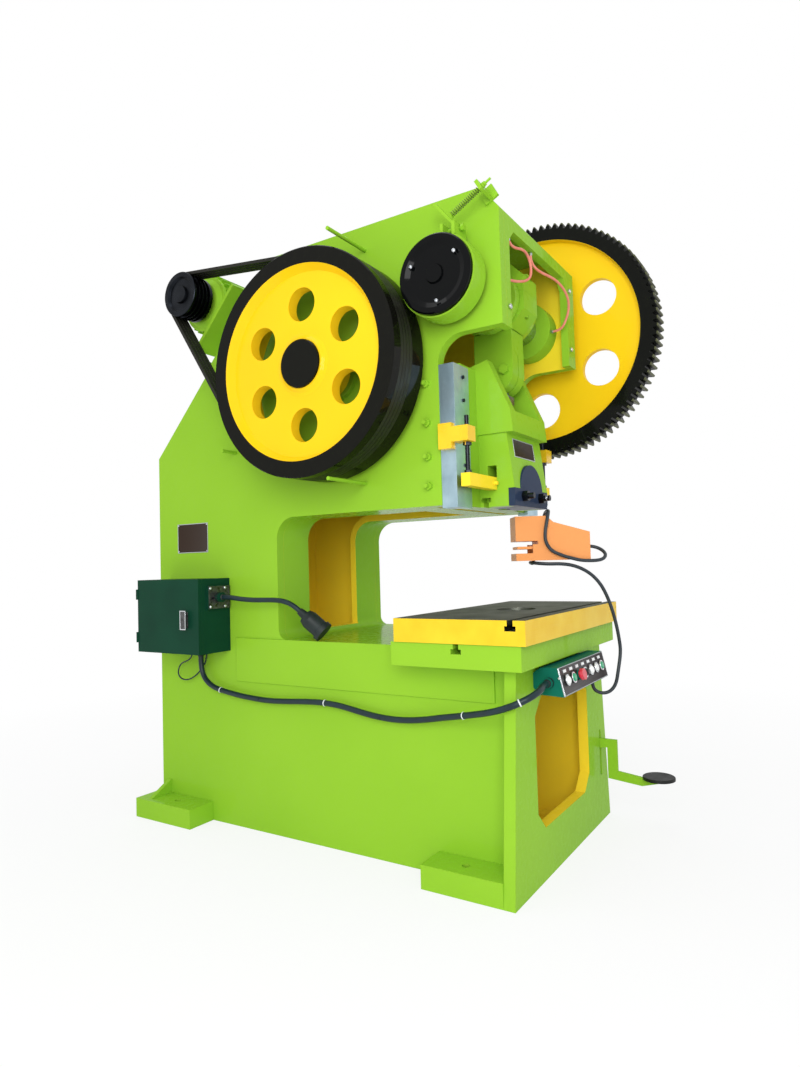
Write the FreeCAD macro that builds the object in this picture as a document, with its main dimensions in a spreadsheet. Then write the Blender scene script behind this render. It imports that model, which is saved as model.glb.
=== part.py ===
import FreeCAD, Part
import math
import os

import Sketcher

# Open-throat mechanical stamping press.
# The origin is on the floor, midway between the four anchor bolts. X runs across the press,
# -Y is the operator's side, Z is up. All sizes are in millimetres.

Vec = FreeCAD.Vector
doc = FreeCAD.newDocument("stamping_press")
sheet = doc.addObject("Spreadsheet::Sheet", "Sizes")
pieces = {}


# ---------------------------------------------------------------- sizes and formulas

class Size:
    """A number together with the sheet formula that gives it."""

    def __init__(self, number, formula):
        self.number = float(number)
        self.formula = formula

    def __add__(self, other):
        other = as_size(other)
        return Size(self.number + other.number, f"({self.formula} + {other.formula})")

    def __sub__(self, other):
        other = as_size(other)
        return Size(self.number - other.number, f"({self.formula} - {other.formula})")

    def __mul__(self, other):
        other = as_size(other)
        return Size(self.number * other.number, f"({self.formula} * {other.formula})")

    def __truediv__(self, other):
        other = as_size(other)
        return Size(self.number / other.number, f"({self.formula} / {other.formula})")

    def __neg__(self):
        return Size(-self.number, f"(0 - {self.formula})")

    def __radd__(self, other):
        return as_size(other) + self

    def __rsub__(self, other):
        return as_size(other) - self

    def __rmul__(self, other):
        return as_size(other) * self

    def __float__(self):
        return self.number


def as_size(value):
    if isinstance(value, Size):
        return value
    return Size(value, f"({float(value)!r})")


def root(value):
    return Size(math.sqrt(value.number), f"sqrt({value.formula})")


sheet_rows = []


def size(alias, number, note):
    """Writes one driving dimension into the sheet and returns it as a Size."""
    row = len(sheet_rows) + 1
    sheet.set(f"A{row}", alias)
    sheet.set(f"B{row}", str(number))
    sheet.set(f"C{row}", note)
    sheet.setAlias(f"B{row}", alias)
    sheet_rows.append(alias)
    return Size(number, f"Sizes.{alias}")


# ---------------------------------------------------------------- driving dimensions

fit_gap = size("fit_gap", 0.3, "gap between a fixed piece and its seat")
slide_gap = size("slide_gap", 0.3, "gap on the slide's guide faces")
run_gap = size("run_gap", 0.05, "radial clearance of a turning shaft")

# Welded frame, side view
frame_half = size("frame_half", 370, "mid-plane to a side plate's outer face")
plate_thick = size("plate_thick", 40, "side plate thickness")
floor_z = 0
front_y = size("front_y", -900, "front face of the base")
rear_y = size("rear_y", 874, "rear edge of the side plates")
knee_z = size("knee_z", 1592, "where the rear edge starts to slope forward")
top_rear_y = size("top_rear_y", 142, "rear end of the top edge")
frame_height = size("frame_height", 2358, "height of the side plates")
top_front_y = size("top_front_y", -800, "front end of the top edge")
head_front_y = size("head_front_y", -868, "front face of the head")
head_corner_z = size("head_corner_z", 2272, "lower end of the head's sloped corner")
head_bottom_z = size("head_bottom_z", 1874, "underside of the head in front of the column")
column_y = size("column_y", -616, "front edge of the column")
jaw_z = size("jaw_z", 1278, "underside of the upper jaw")
throat_y = size("throat_y", 158, "back wall of the throat")
bed_z = size("bed_z", 785, "top of the bed behind the slab")
head_round = size("head_round", 98, "round between head and column")
throat_round = size("throat_round", 90, "upper round of the throat")
bed_round = size("bed_round", 40, "lower round of the throat")
base_height = size("base_height", 731, "height of the base under the slab")
base_width = size("base_width", 1000, "width of the front plate on the floor")
base_top_width = size("base_top_width", 870, "width of the front plate at its top")
front_thick = size("front_thick", 40, "front plate thickness")
doubler_z = size("doubler_z", 605, "lower edge of the bed's doubler plate")
doubler_thick = size("doubler_thick", 6, "doubler plate thickness")
lining_thick = size("lining_thick", 30, "folded throat lining thickness")
cover_thick = size("cover_thick", 12, "rear cover thickness")
cover_inset = size("cover_inset", 12, "rear cover inside the side plates' edges")
flange_thick = size("flange_thick", 30, "head front flange thickness")
flange_leg = size("flange_leg", 40, "width of the head flange's legs")
flange_band = size("flange_band", 44, "height of the head flange above its opening")
top_thick = size("top_thick", 16, "head top plate thickness")
web_y = size("web_y", 530, "inner cross wall")
web_height = size("web_height", 1500, "height of the inner cross wall")

window_left = size("window_left", -290, "left edge of the window in the front plate")
window_right = size("window_right", 250, "right edge of the window in the front plate")
window_low = size("window_low", 171, "sill of the window in the front plate")
window_high = size("window_high", 618, "head of the window in the front plate")
window_corner = size("window_corner", 62, "sloped corners of that window")
throat_window_half = size("throat_window_half", 172, "half width of the throat's window")
throat_window_low = size("throat_window_low", 806, "sill of the throat's window")
jaw_window_y = size("jaw_window_y", -430, "front end of that window under the jaw")

foot_height = size("foot_height", 80, "height of the anchor feet")
front_foot_y = size("front_foot_y", -563, "rear end of the front feet")
rear_foot_y = size("rear_foot_y", 554, "front end of the rear feet")
foot_end_y = size("foot_end_y", 897, "rear end of the rear feet")
anchor_x = size("anchor_x", 435, "mid-plane to an anchor bolt")
anchor_y = size("anchor_y", 700, "origin to an anchor bolt along the press")
anchor_r = size("anchor_r", 14, "anchor hole radius")

# Bed slab and bolster
slab_half = size("slab_half", 490, "half width of the bed slab")
slab_front_y = size("slab_front_y", -944, "front face of the bed slab")
slab_rear_y = size("slab_rear_y", -463, "rear face of the bed slab")
slab_thick = size("slab_thick", 81, "bed slab thickness")
bolster_half = size("bolster_half", 495, "half width of the bolster")
bolster_front_y = size("bolster_front_y", -962, "front face of the bolster")
bolster_rear_y = size("bolster_rear_y", -479, "rear face of the bolster")
bolster_thick = size("bolster_thick", 80, "bolster thickness")
slot_neck = size("slot_neck", 20, "T-slot neck width")
slot_head = size("slot_head", 38, "T-slot head width")
slot_head_deep = size("slot_head_deep", 16, "T-slot head height")
slot_deep = size("slot_deep", 34, "T-slot whole depth")
bolster_slot_y = size("bolster_slot_y", -911, "T-slot across the bolster")
slab_slot_y = size("slab_slot_y", -715, "T-slot across the bed slab")
drop_hole_r = size("drop_hole_r", 75, "drop hole through bolster and slab")

# Shafts and gears
crank_y = size("crank_y", -685, "crankshaft axis and slide centre")
crank_z = size("crank_z", 2042, "crankshaft axis height")
crank_throw = size("crank_throw", 50, "half of the stroke")
journal_r = size("journal_r", 60, "crankshaft journal radius")
pin_r = size("pin_r", 88, "crank pin radius")
pin_half = size("pin_half", 69, "half length of the crank pin")
cheek_thick = size("cheek_thick", 38, "crank cheek thickness")
cheek_r = size("cheek_r", 122, "crank cheek radius")
boss_r = size("boss_r", 120, "crank bearing boss radius")
boss_in = size("boss_in", 80, "crank bearing boss length inside the head")
spigot_r = size("spigot_r", 100, "crank bearing spigot radius")
gear_module = size("gear_module", 10, "gear tooth module")
gear_teeth = 101
pinion_teeth = 13
shaft_drop = size("shaft_drop", 230, "countershaft below the crankshaft")
gear_x = size("gear_x", 420, "inner face of the gear rim")
gear_width = size("gear_width", 100, "face width of the gear")
gear_rim = size("gear_rim", 50, "gear rim under the tooth roots")
gear_web = size("gear_web", 30, "gear web thickness")
gear_hub_r = size("gear_hub_r", 115, "gear hub radius")
gear_hole_r = size("gear_hole_r", 78, "holes in the gear web")
gear_hole_pitch = size("gear_hole_pitch", 305, "pitch radius of those holes")
counter_r = size("counter_r", 42, "countershaft radius")
counter_boss_r = size("counter_boss_r", 105, "countershaft bearing flange radius")
counter_spigot_r = size("counter_spigot_r", 72, "countershaft bearing spigot radius")
counter_flange = size("counter_flange", 20, "countershaft bearing flange thickness")

fly_r = size("fly_r", 417, "flywheel radius")
fly_x = size("fly_x", -600, "front face of the flywheel rim")
fly_width = size("fly_width", 190, "flywheel rim width")
fly_rim_r = size("fly_rim_r", 356, "inside of the flywheel rim")
fly_web = size("fly_web", 46, "flywheel web thickness")
fly_dish = size("fly_dish", 34, "web face behind the rim's front face")
fly_hub_r = size("fly_hub_r", 104, "flywheel hub radius")
fly_hole_r = size("fly_hole_r", 62, "holes in the flywheel web")
fly_hole_pitch = size("fly_hole_pitch", 222, "pitch radius of those holes")
cap_r = size("cap_r", 88, "flywheel shaft cap radius")
cap_thick = size("cap_thick", 12, "flywheel shaft cap thickness")

# V-belt drive
belt_x = size("belt_x", -556, "outer edge of the first belt")
belt_count = 4
belt_pitch = size("belt_pitch", 19, "spacing of the belts")
belt_top = size("belt_top", 17, "belt width at its outer face")
belt_low = size("belt_low", 11, "belt width at its inner face")
belt_deep = size("belt_deep", 11, "belt thickness")
pulley_r = size("pulley_r", 92, "motor pulley radius")
pulley_x = size("pulley_x", -566, "front face of the motor pulley")
pulley_long = size("pulley_long", 98, "motor pulley length")
motor_height = size("motor_height", 132, "motor axis above its base plate")
motor_along = size("motor_along", 348, "motor axis behind the top edge's end, along Y")
motor_plate_thick = size("motor_plate_thick", 14, "motor base plate thickness")
motor_rail = size("motor_rail", 12, "height of the rails under the motor base plate")
motor_r = size("motor_r", 112, "motor housing radius")
motor_fin = size("motor_fin", 16, "height of the cooling fins")
motor_fins = 28
motor_x = size("motor_x", -440, "drive end of the motor housing")
motor_long = size("motor_long", 330, "motor housing length")
motor_shaft_r = size("motor_shaft_r", 19, "motor shaft radius")

# Brake on the left end of the crankshaft
drum_r = size("drum_r", 136, "brake drum radius")
drum_x = size("drum_x", -506, "front face of the brake drum")
drum_long = size("drum_long", 106, "brake drum length")
band_thick = size("band_thick", 6, "brake band thickness")
band_width = size("band_width", 84, "brake band width")
spring_wire_r = size("spring_wire_r", 1.3, "brake spring wire radius")
spring_mean_r = size("spring_mean_r", 9, "brake spring mean radius")
spring_turns = 16

# Connecting rod and ball screw
rod_half = size("rod_half", 66, "half thickness of the rod's big end")
rod_big = size("rod_big", 138, "half width of the rod's big end")
rod_corner = size("rod_corner", 60, "sloped corners of the big end")
rod_small_r = size("rod_small_r", 80, "round lower end of the rod")
rod_small_half = size("rod_small_half", 56, "half thickness of the rod's lower end")
rod_length = size("rod_length", 292, "crank pin to the rod's lower round")
rod_bolt_r = size("rod_bolt_r", 13, "rod cap bolt radius")
rod_bolt_y = size("rod_bolt_y", 114, "crank pin to a cap bolt")
ball_r = size("ball_r", 42, "ball radius")
ball_drop = size("ball_drop", 240, "rod's lower round to the ball centre")
screw_r = size("screw_r", 32, "adjusting screw radius")

# Slide and its guides
slide_half = size("slide_half", 160, "half width of the slide's lower part")
slide_front_y = size("slide_front_y", -801, "slide front face")
slide_rear_y = size("slide_rear_y", -580, "slide rear face")
slide_low_z = size("slide_low_z", 1277, "slide bottom at the top of its stroke")
slide_lip_z = size("slide_lip_z", 1546, "lower edge of the slide's proud upper part")
slide_lip = size("slide_lip", 8, "how far the upper part stands proud")
slide_lean = size("slide_lean", 26, "how far the lower front leans back at the lip")
slide_floor_z = size("slide_floor_z", 1627, "floor between the slide's cheeks")
slide_cheek_half = size("slide_cheek_half", 122, "mid-plane to a cheek's inner face")
slide_top_z = size("slide_top_z", 1823, "top of the slide's cheeks")
slide_top_y = size("slide_top_y", -711, "front end of the cheeks' top")
slide_back_z = size("slide_back_z", 1790, "rear end of the cheeks' top")
wing_half = size("wing_half", 296, "half width over the slide's wings")
wing_y = size("wing_y", -662, "front face of the wings")
wing_rear_y = size("wing_rear_y", -584, "rear face of the wings")
gib_front_y = size("gib_front_y", -676, "front face of the gibs")
gib_reach = size("gib_reach", 256, "mid-plane to the gib's lip")
gib_low_z = size("gib_low_z", 1268, "lower end of the gibs")
gib_high_z = size("gib_high_z", 1775, "upper end of the gibs")
housing_deep = size("housing_deep", 88, "depth of the slide housing in the column")
housing_wall = size("housing_wall", 20, "back wall of the slide housing")
set_screw_r = size("set_screw_r", 8, "gib adjusting screw radius")
shank_r = size("shank_r", 25, "die shank hole radius")
shank_deep = size("shank_deep", 56, "die shank hole depth")
clamp_half = size("clamp_half", 110, "half width of the die clamp's arch")
clamp_bar_z = size("clamp_bar_z", 1342, "top of the die clamp's cross bar")
clamp_bar_deep = size("clamp_bar_deep", 25, "depth of the cross bar")
clamp_arch_deep = size("clamp_arch_deep", 31, "depth of the arch")
clamp_block_z = size("clamp_block_z", 1333, "top of the clamp's block")
clamp_bolt_x = size("clamp_bolt_x", 80, "mid-plane to a clamp bolt")
clamp_bolt_z = size("clamp_bolt_z", 1315, "height of the clamp bolts")
clamp_bolt_r = size("clamp_bolt_r", 11, "clamp bolt radius")
bar_half = size("bar_half", 375, "half length of the knock-out bar")
bar_y = size("bar_y", -731, "front face of the knock-out bar")
bar_deep = size("bar_deep", 35, "knock-out bar thickness")
bar_low_z = size("bar_low_z", 1338, "underside of the knock-out bar")
bar_tall = size("bar_tall", 46, "knock-out bar height")
bar_travel = size("bar_travel", 44, "knock-out bar travel in its slot")

# Pedal
pedal_x = size("pedal_x", 400, "middle of the pedal lever")
pedal_thick = size("pedal_thick", 12, "pedal lever thickness")
pedal_pin_y = size("pedal_pin_y", -780, "pedal pivot along the press")
pedal_pin_z = size("pedal_pin_z", 300, "pedal pivot height")
pedal_pin_r = size("pedal_pin_r", 14, "pedal pivot radius")
pad_r = size("pad_r", 62, "foot pad radius")
pad_y = size("pad_y", -1130, "foot pad centre along the press")
pad_z = size("pad_z", 196, "underside of the foot pad")

# Electrical cabinet and control box
cabinet_deep = size("cabinet_deep", 174, "cabinet depth off the side plate")
cabinet_y = size("cabinet_y", 432, "front face of the cabinet")
cabinet_long = size("cabinet_long", 379, "cabinet length along the press")
cabinet_z = size("cabinet_z", 730, "underside of the cabinet")
cabinet_tall = size("cabinet_tall", 308, "cabinet height")
sheet_thick = size("sheet_thick", 3, "sheet steel thickness")
door_thick = size("door_thick", 18, "cabinet door depth")
box_left = size("box_left", -295, "left end of the control box")
box_right = size("box_right", 190, "right end of the control box")
box_top_z = size("box_top_z", 721, "top of the control box")
box_low_z = size("box_low_z", 627, "bottom of the control box")
box_reach = size("box_reach", 106, "control box in front of the front plate")
button_r = size("button_r", 13, "push button radius")
button_pitch = size("button_pitch", 62, "spacing of the control buttons")


# ---------------------------------------------------------------- derived places

plate_in = frame_half - plate_thick
centre_distance = gear_module * (gear_teeth + pinion_teeth) / 2
counter_y = crank_y + root(centre_distance * centre_distance - shaft_drop * shaft_drop)
counter_z = crank_z - shaft_drop
pin_z = crank_z + crank_throw
rod_low_z = pin_z - rod_length
ball_z = rod_low_z - ball_drop
slab_top_z = base_height + slab_thick
bolster_top_z = slab_top_z + bolster_thick
foot_out = base_width / 2

slope_y = rear_y - top_rear_y
slope_z = frame_height - knee_z
slope_long = root(slope_y * slope_y + slope_z * slope_z)
slope_deg = math.degrees(math.atan2(slope_z.number, slope_y.number))
motor_offset = motor_height + motor_plate_thick + motor_rail
motor_y = top_rear_y + motor_along
motor_z = (frame_height - motor_along * slope_z / slope_y
           + motor_offset * slope_long / slope_y)


# ---------------------------------------------------------------- modelling helpers

def bind(feature, prop, value):
    feature.setExpression(prop, as_size(value).formula)


def put(feature, x=0, y=0, z=0, rotation=None):
    """Gives a feature its Placement, its base bound to the sheet."""
    if rotation is not None:
        feature.Placement = FreeCAD.Placement(Vec(0, 0, 0), rotation)
    bind(feature, "Placement.Base.x", x)
    bind(feature, "Placement.Base.y", y)
    bind(feature, "Placement.Base.z", z)
    return feature


def block(name, x_span, y_span, z_span):
    """A box from its two limits along X, Y and Z."""
    box = doc.addObject("Part::Box", name)
    bind(box, "Length", x_span[1] - as_size(x_span[0]))
    bind(box, "Width", y_span[1] - as_size(y_span[0]))
    bind(box, "Height", z_span[1] - as_size(z_span[0]))
    return put(box, x_span[0], y_span[0], z_span[0])


TO_X = FreeCAD.Rotation(Vec(0, 1, 0), 90)
TO_Y = FreeCAD.Rotation(Vec(1, 0, 0), -90)
TO_Z = FreeCAD.Rotation()


def rod(name, radius, length, start, turn=TO_X):
    """A cylinder from its start point, along X unless turned otherwise."""
    cylinder = doc.addObject("Part::Cylinder", name)
    bind(cylinder, "Radius", radius)
    bind(cylinder, "Height", length)
    return put(cylinder, start[0], start[1], start[2], turn)


def hexagon(name, across, length, start, turn=TO_X):
    """A hexagonal nut or bolt head."""
    prism = doc.addObject("Part::Prism", name)
    prism.Polygon = 6
    bind(prism, "Circumradius", as_size(across) / math.sqrt(3))
    bind(prism, "Height", length)
    return put(prism, start[0], start[1], start[2], turn)


def fuse(name, shapes):
    joined = doc.addObject("Part::MultiFuse", name)
    joined.Shapes = shapes
    joined.Refine = True
    return joined


def cut(name, base, tools):
    """The base less one or more tools."""
    result = doc.addObject("Part::Cut", name)
    result.Base = base
    result.Tool = tools[0] if len(tools) == 1 else fuse(name + "_tools", tools)
    return result


def group(name, shapes):
    """Separate solids that share one node."""
    gathered = doc.addObject("Part::Compound", name)
    gathered.Links = shapes
    return gathered


def keep(label, feature):
    """Names a finished sub-part. The label is its file's name."""
    feature.Label = label
    pieces[label] = feature
    return feature


def solid_feature(name, shape, placement=None):
    """A sub-part whose shape comes from Part's own functions."""
    feature = doc.addObject("Part::Feature", name)
    feature.Shape = shape
    if placement is not None:
        feature.Placement = placement
    return feature


# Sketch planes: YZ draws (y, z) and looks along +X, XZ draws (x, z) and looks along -Y,
# XY draws (x, y) and looks along +Z.

def new_sketch(body, name, plane, offset):
    sketch = body.newObject("Sketcher::SketchObject", name)
    origin = [f for f in body.Origin.OriginFeatures if f.Role == plane + "_Plane"][0]
    sketch.AttachmentSupport = [(origin, "")]
    sketch.MapMode = "FlatFace"
    bind(sketch, "AttachmentOffset.Base.z", offset)
    return sketch


def draw_polygon(sketch, points):
    """A closed outline of straight lines, each corner bound to the sheet."""
    flat = [Vec(float(p[0]), float(p[1]), 0) for p in points]
    first = sketch.GeometryCount
    count = len(flat)
    for i in range(count):
        sketch.addGeometry(Part.LineSegment(flat[i], flat[(i + 1) % count]), False)
    for i in range(count):
        sketch.addConstraint(Sketcher.Constraint(
            "Coincident", first + i, 2, first + (i + 1) % count, 1))
    for i in range(count):
        for kind, axis in (("DistanceX", 0), ("DistanceY", 1)):
            number = sketch.addConstraint(Sketcher.Constraint(
                kind, -1, 1, first + i, 1, float(points[i][axis])))
            bind(sketch, f"Constraints[{number}]", points[i][axis])


def draw_circle(sketch, across, up, radius):
    """A circle whose centre and radius are bound to the sheet."""
    first = sketch.GeometryCount
    centre = Vec(float(across), float(up), 0)
    sketch.addGeometry(Part.Circle(centre, Vec(0, 0, 1), float(radius)), False)
    for kind, value in (("DistanceX", across), ("DistanceY", up)):
        number = sketch.addConstraint(Sketcher.Constraint(
            kind, -1, 1, first, 3, float(value)))
        bind(sketch, f"Constraints[{number}]", value)
    number = sketch.addConstraint(Sketcher.Constraint("Radius", first, float(radius)))
    bind(sketch, f"Constraints[{number}]", radius)


def new_body(name):
    return doc.addObject("PartDesign::Body", name)


def pad(body, name, plane, outlines, start, length, circles=()):
    """Adds material from the plane's offset along the plane's normal."""
    sketch = new_sketch(body, name + "_sketch", plane, start)
    for points in outlines:
        draw_polygon(sketch, points)
    for circle in circles:
        draw_circle(sketch, *circle)
    feature = body.newObject("PartDesign::Pad", name)
    feature.Profile = sketch
    bind(feature, "Length", length)
    return feature


def pocket(body, name, plane, outlines, start, length, circles=()):
    """Removes material from the plane's offset along the plane's normal."""
    sketch = new_sketch(body, name + "_sketch", plane, start)
    for points in outlines:
        draw_polygon(sketch, points)
    for circle in circles:
        draw_circle(sketch, *circle)
    feature = body.newObject("PartDesign::Pocket", name)
    feature.Profile = sketch
    feature.Reversed = True
    bind(feature, "Length", length)
    return feature


def revolve(body, name, points):
    """Turns an outline of (x, radius) points about the X axis."""
    sketch = new_sketch(body, name + "_sketch", "XY", 0)
    draw_polygon(sketch, points)
    axis = [f for f in body.Origin.OriginFeatures if f.Role == "X_Axis"][0]
    feature = body.newObject("PartDesign::Revolution", name)
    feature.Profile = sketch
    feature.ReferenceAxis = (axis, [""])
    feature.Angle = 360
    return feature


def polar(body, name, original, count):
    """Repeats a feature round the body's X axis."""
    axis = [f for f in body.Origin.OriginFeatures if f.Role == "X_Axis"][0]
    feature = body.newObject("PartDesign::PolarPattern", name)
    feature.Originals = [original]
    feature.Axis = (axis, [""])
    feature.Angle = 360
    feature.Occurrences = count
    body.Tip = feature
    return feature


def round_edges(body, name, radius, chosen):
    """Rounds the edges that the test picks, given each edge's two ends."""
    doc.recompute()
    base = body.Tip
    edges = []
    for i, edge in enumerate(base.Shape.Edges):
        ends = [v.Point for v in edge.Vertexes]
        if len(ends) == 2 and chosen(ends[0], ends[1]):
            edges.append(f"Edge{i + 1}")
    feature = body.newObject("PartDesign::Fillet", name)
    feature.Base = (base, edges)
    bind(feature, "Radius", radius)
    return feature


def near(a, b):
    return abs(float(a) - float(b)) < 0.01


def across_at(y, z):
    """Picks edges that run along X at the given y and z."""
    return lambda a, b: all(near(p.y, y) and near(p.z, z) for p in (a, b))


def rectangle(low_a, high_a, low_b, high_b):
    return [(low_a, low_b), (high_a, low_b), (high_a, high_b), (low_a, high_b)]


# ---------------------------------------------------------------- frame plates

def side_outline():
    """Side view of the frame: base, throat, column, head and sloping back."""
    return [
        (rear_y, floor_z), (rear_y, knee_z), (top_rear_y, frame_height),
        (top_front_y, frame_height), (head_front_y, head_corner_z),
        (head_front_y, head_bottom_z), (column_y, head_bottom_z), (column_y, jaw_z),
        (throat_y, jaw_z), (throat_y, bed_z), (slab_rear_y, bed_z),
        (slab_rear_y, base_height), (front_y + front_thick, base_height),
        (front_y + front_thick, floor_z),
    ]


set_screw_heights = [size("set_screw_z1", 1349, "lowest gib set screw"),
                     size("set_screw_z2", 1453, "second gib set screw"),
                     size("set_screw_z3", 1574, "third gib set screw"),
                     size("set_screw_z4", 1715, "highest gib set screw")]
set_screw_y = column_y + 50


def side_plate(label, side):
    """side is -1 for the flywheel's plate and 1 for the gear's."""
    body = new_body(label)
    inner_x = plate_in if side > 0 else -frame_half
    outer_x = frame_half if side > 0 else -frame_half - doubler_thick
    pad(body, label + "_plate", "YZ", [side_outline()], inner_x, plate_thick)
    round_edges(body, label + "_head_round", head_round, across_at(column_y, head_bottom_z))
    round_edges(body, label + "_jaw_round", throat_round, across_at(throat_y, jaw_z))
    round_edges(body, label + "_bed_round", bed_round, across_at(throat_y, bed_z))
    doubler_front = front_y + front_thick + 65
    doubler = [(doubler_front, doubler_z), (throat_y + 236, doubler_z),
               (throat_y + 236, bed_z), (slab_rear_y, bed_z), (slab_rear_y, base_height),
               (doubler_front, base_height)]
    pad(body, label + "_doubler", "YZ", [doubler], outer_x, doubler_thick)
    bores = [(crank_y, crank_z, spigot_r + fit_gap),
             (counter_y, counter_z, counter_spigot_r + fit_gap)]
    bores += [(set_screw_y, z, set_screw_r + fit_gap) for z in set_screw_heights]
    pocket(body, label + "_bores", "YZ", [], inner_x, plate_thick, bores)
    if side > 0:
        pad(body, label + "_pedal_pin", "YZ", [], outer_x,
            pedal_x + pedal_thick - frame_half, [(pedal_pin_y, pedal_pin_z, pedal_pin_r)])
    return keep(label, body)


def base_front_plate():
    half_low = base_width / 2
    half_top = base_top_width / 2
    body = new_body("base_front_plate")
    outline = [(-half_low, floor_z), (half_low, floor_z), (half_top, base_height),
               (-half_top, base_height)]
    pad(body, "front_plate", "XZ", [outline], -front_y - front_thick, front_thick)
    corner = window_corner
    window = [(window_left, window_low + corner), (window_left + corner, window_low),
              (window_right - corner, window_low), (window_right, window_low + corner),
              (window_right, window_high - corner), (window_right - corner, window_high),
              (window_left + corner, window_high), (window_left, window_high - corner)]
    slot_half = pedal_thick / 2 + 5
    slot = rectangle(pedal_x - slot_half, pedal_x + slot_half,
                     pedal_pin_z - 114, pedal_pin_z + 68)
    pocket(body, "front_openings", "XZ", [window, slot], -front_y - front_thick, front_thick)
    return keep("base_front_plate", body)


def head_front_flange():
    open_half = plate_in - flange_leg
    open_top = head_corner_z - flange_band
    corner = 40
    body = new_body("head_front_flange")
    outline = [(-plate_in, head_bottom_z), (-open_half, head_bottom_z),
               (-open_half, open_top - corner), (-open_half + corner, open_top),
               (open_half - corner, open_top), (open_half, open_top - corner),
               (open_half, head_bottom_z), (plate_in, head_bottom_z),
               (plate_in, head_corner_z), (-plate_in, head_corner_z)]
    pad(body, "flange", "XZ", [outline], -head_front_y - flange_thick, flange_thick)
    return keep("head_front_flange", body)


def head_top_plate():
    body = new_body("head_top_plate")
    lean = (top_front_y - head_front_y) / (frame_height - head_corner_z)
    outline = [(head_front_y, head_corner_z), (top_front_y, frame_height),
               (top_rear_y, frame_height), (top_rear_y, frame_height - top_thick),
               (top_front_y + 7, frame_height - top_thick),
               (top_front_y + 7 - (frame_height - top_thick - head_corner_z) * lean,
                head_corner_z)]
    pad(body, "top_fold", "YZ", [outline], -plate_in, plate_in * 2)
    return keep("head_top_plate", body)


def rear_cover():
    """Folded sheet that closes the slope and the back, with an access window."""
    back = rear_y - cover_inset
    inset_z = cover_inset * slope_long / slope_y
    inner_z = (cover_inset + cover_thick) * slope_long / slope_y
    fold = cover_inset * slope_z / slope_y
    inner_fold = (cover_inset + cover_thick) * slope_z / slope_y
    outline = [(top_rear_y, frame_height - inset_z),
               (back, knee_z + fold - inset_z),
               (back, floor_z), (back - cover_thick, floor_z),
               (back - cover_thick, knee_z + inner_fold - inner_z),
               (top_rear_y, frame_height - inner_z)]
    body = new_body("rear_cover")
    pad(body, "cover_fold", "YZ", [outline], -plate_in, plate_in * 2)
    window = rectangle(-plate_in + 110, plate_in - 110, 260, knee_z - 500)
    pocket(body, "cover_window", "XZ", [window], -back, cover_thick * 2)
    return keep("rear_cover", body)


def throat_lining():
    """One folded plate: bed top, back wall and jaw. Its window runs on under the jaw."""
    top = jaw_z + lining_thick
    back = throat_y + lining_thick
    low = bed_z - lining_thick
    body = new_body("throat_lining")
    outline = [(column_y, jaw_z), (throat_y, jaw_z), (throat_y, bed_z), (slab_rear_y, bed_z),
               (slab_rear_y, low), (back, low), (back, top), (column_y, top)]
    pad(body, "lining_fold", "YZ", [outline], -plate_in, plate_in * 2)
    round_edges(body, "lining_jaw_round", throat_round, across_at(throat_y, jaw_z))
    round_edges(body, "lining_bed_round", bed_round, across_at(throat_y, bed_z))
    round_edges(body, "lining_outer_round", throat_round + lining_thick, across_at(back, top))
    half = throat_window_half
    window = rectangle(-half, half, throat_window_low, top + 1)
    pocket(body, "lining_window", "XZ", [window], -back - 1, back + 1 - jaw_window_y)
    notch = rectangle(-wing_half - slide_gap, wing_half + slide_gap,
                      column_y - 1, column_y + housing_deep - housing_wall)
    pocket(body, "slide_notch", "XY", [notch], jaw_z - 1, lining_thick + 2)
    return keep("throat_lining", body)


def slide_housing():
    """U-shaped guide box in the column, open to the front for the slide's wings."""
    back = column_y + housing_deep
    inside = back - housing_wall
    wing_in = wing_half + slide_gap
    wing_back = wing_rear_y + slide_gap
    middle = slide_half + slide_lip + 4
    outline = [(-plate_in, column_y), (-wing_in, column_y), (-wing_in, wing_back),
               (-middle, wing_back), (-middle, inside), (middle, inside),
               (middle, wing_back), (wing_in, wing_back), (wing_in, column_y),
               (plate_in, column_y), (plate_in, back), (-plate_in, back)]
    body = new_body("slide_housing")
    low = jaw_z + lining_thick
    pad(body, "housing", "XY", [outline], low, gib_high_z - low)
    return keep("slide_housing", body)


def inner_web():
    wall = block("inner_web_wall", (-plate_in, plate_in), (web_y, web_y + 20),
                 (floor_z, web_height))
    return keep("inner_web", wall)


def anchor_feet():
    """Four feet outside the side plates, each with its anchor hole and a sloped rib."""
    feet = []
    front_in = front_y + front_thick
    for side, word in ((-1, "left"), (1, "right")):
        near_x = frame_half if side > 0 else -foot_out
        far_x = foot_out if side > 0 else -frame_half
        for end, low, high in (("front", front_in, front_foot_y),
                               ("rear", rear_foot_y, foot_end_y)):
            name = f"foot_{end}_{word}"
            slab = block(name + "_block", (near_x, far_x), (low, high), (floor_z, foot_height))
            y = -anchor_y if end == "front" else anchor_y
            hole = rod(name + "_hole", anchor_r, foot_height,
                       (anchor_x * side, y, floor_z), TO_Z)
            feet.append(cut(name, slab, [hole]))
        rib = doc.addObject("Part::Wedge", f"foot_rib_{word}")
        for prop, value in (("Xmin", 0), ("Ymin", 0), ("Zmin", 0), ("X2min", 0), ("Z2min", 0),
                            ("Xmax", 20), ("Ymax", 60), ("Zmax", 110), ("X2max", 20),
                            ("Z2max", 0)):
            bind(rib, prop, value)
        turn = FreeCAD.Rotation(Vec(0, side, 0), Vec(0, 0, 1), Vec(side, 0, 0), "ZXY")
        put(rib, frame_half * side, foot_end_y - 60 if side < 0 else foot_end_y - 80,
            foot_height, turn)
        feet.append(rib)
    return keep("anchor_feet", group("anchor_feet", feet))


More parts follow.
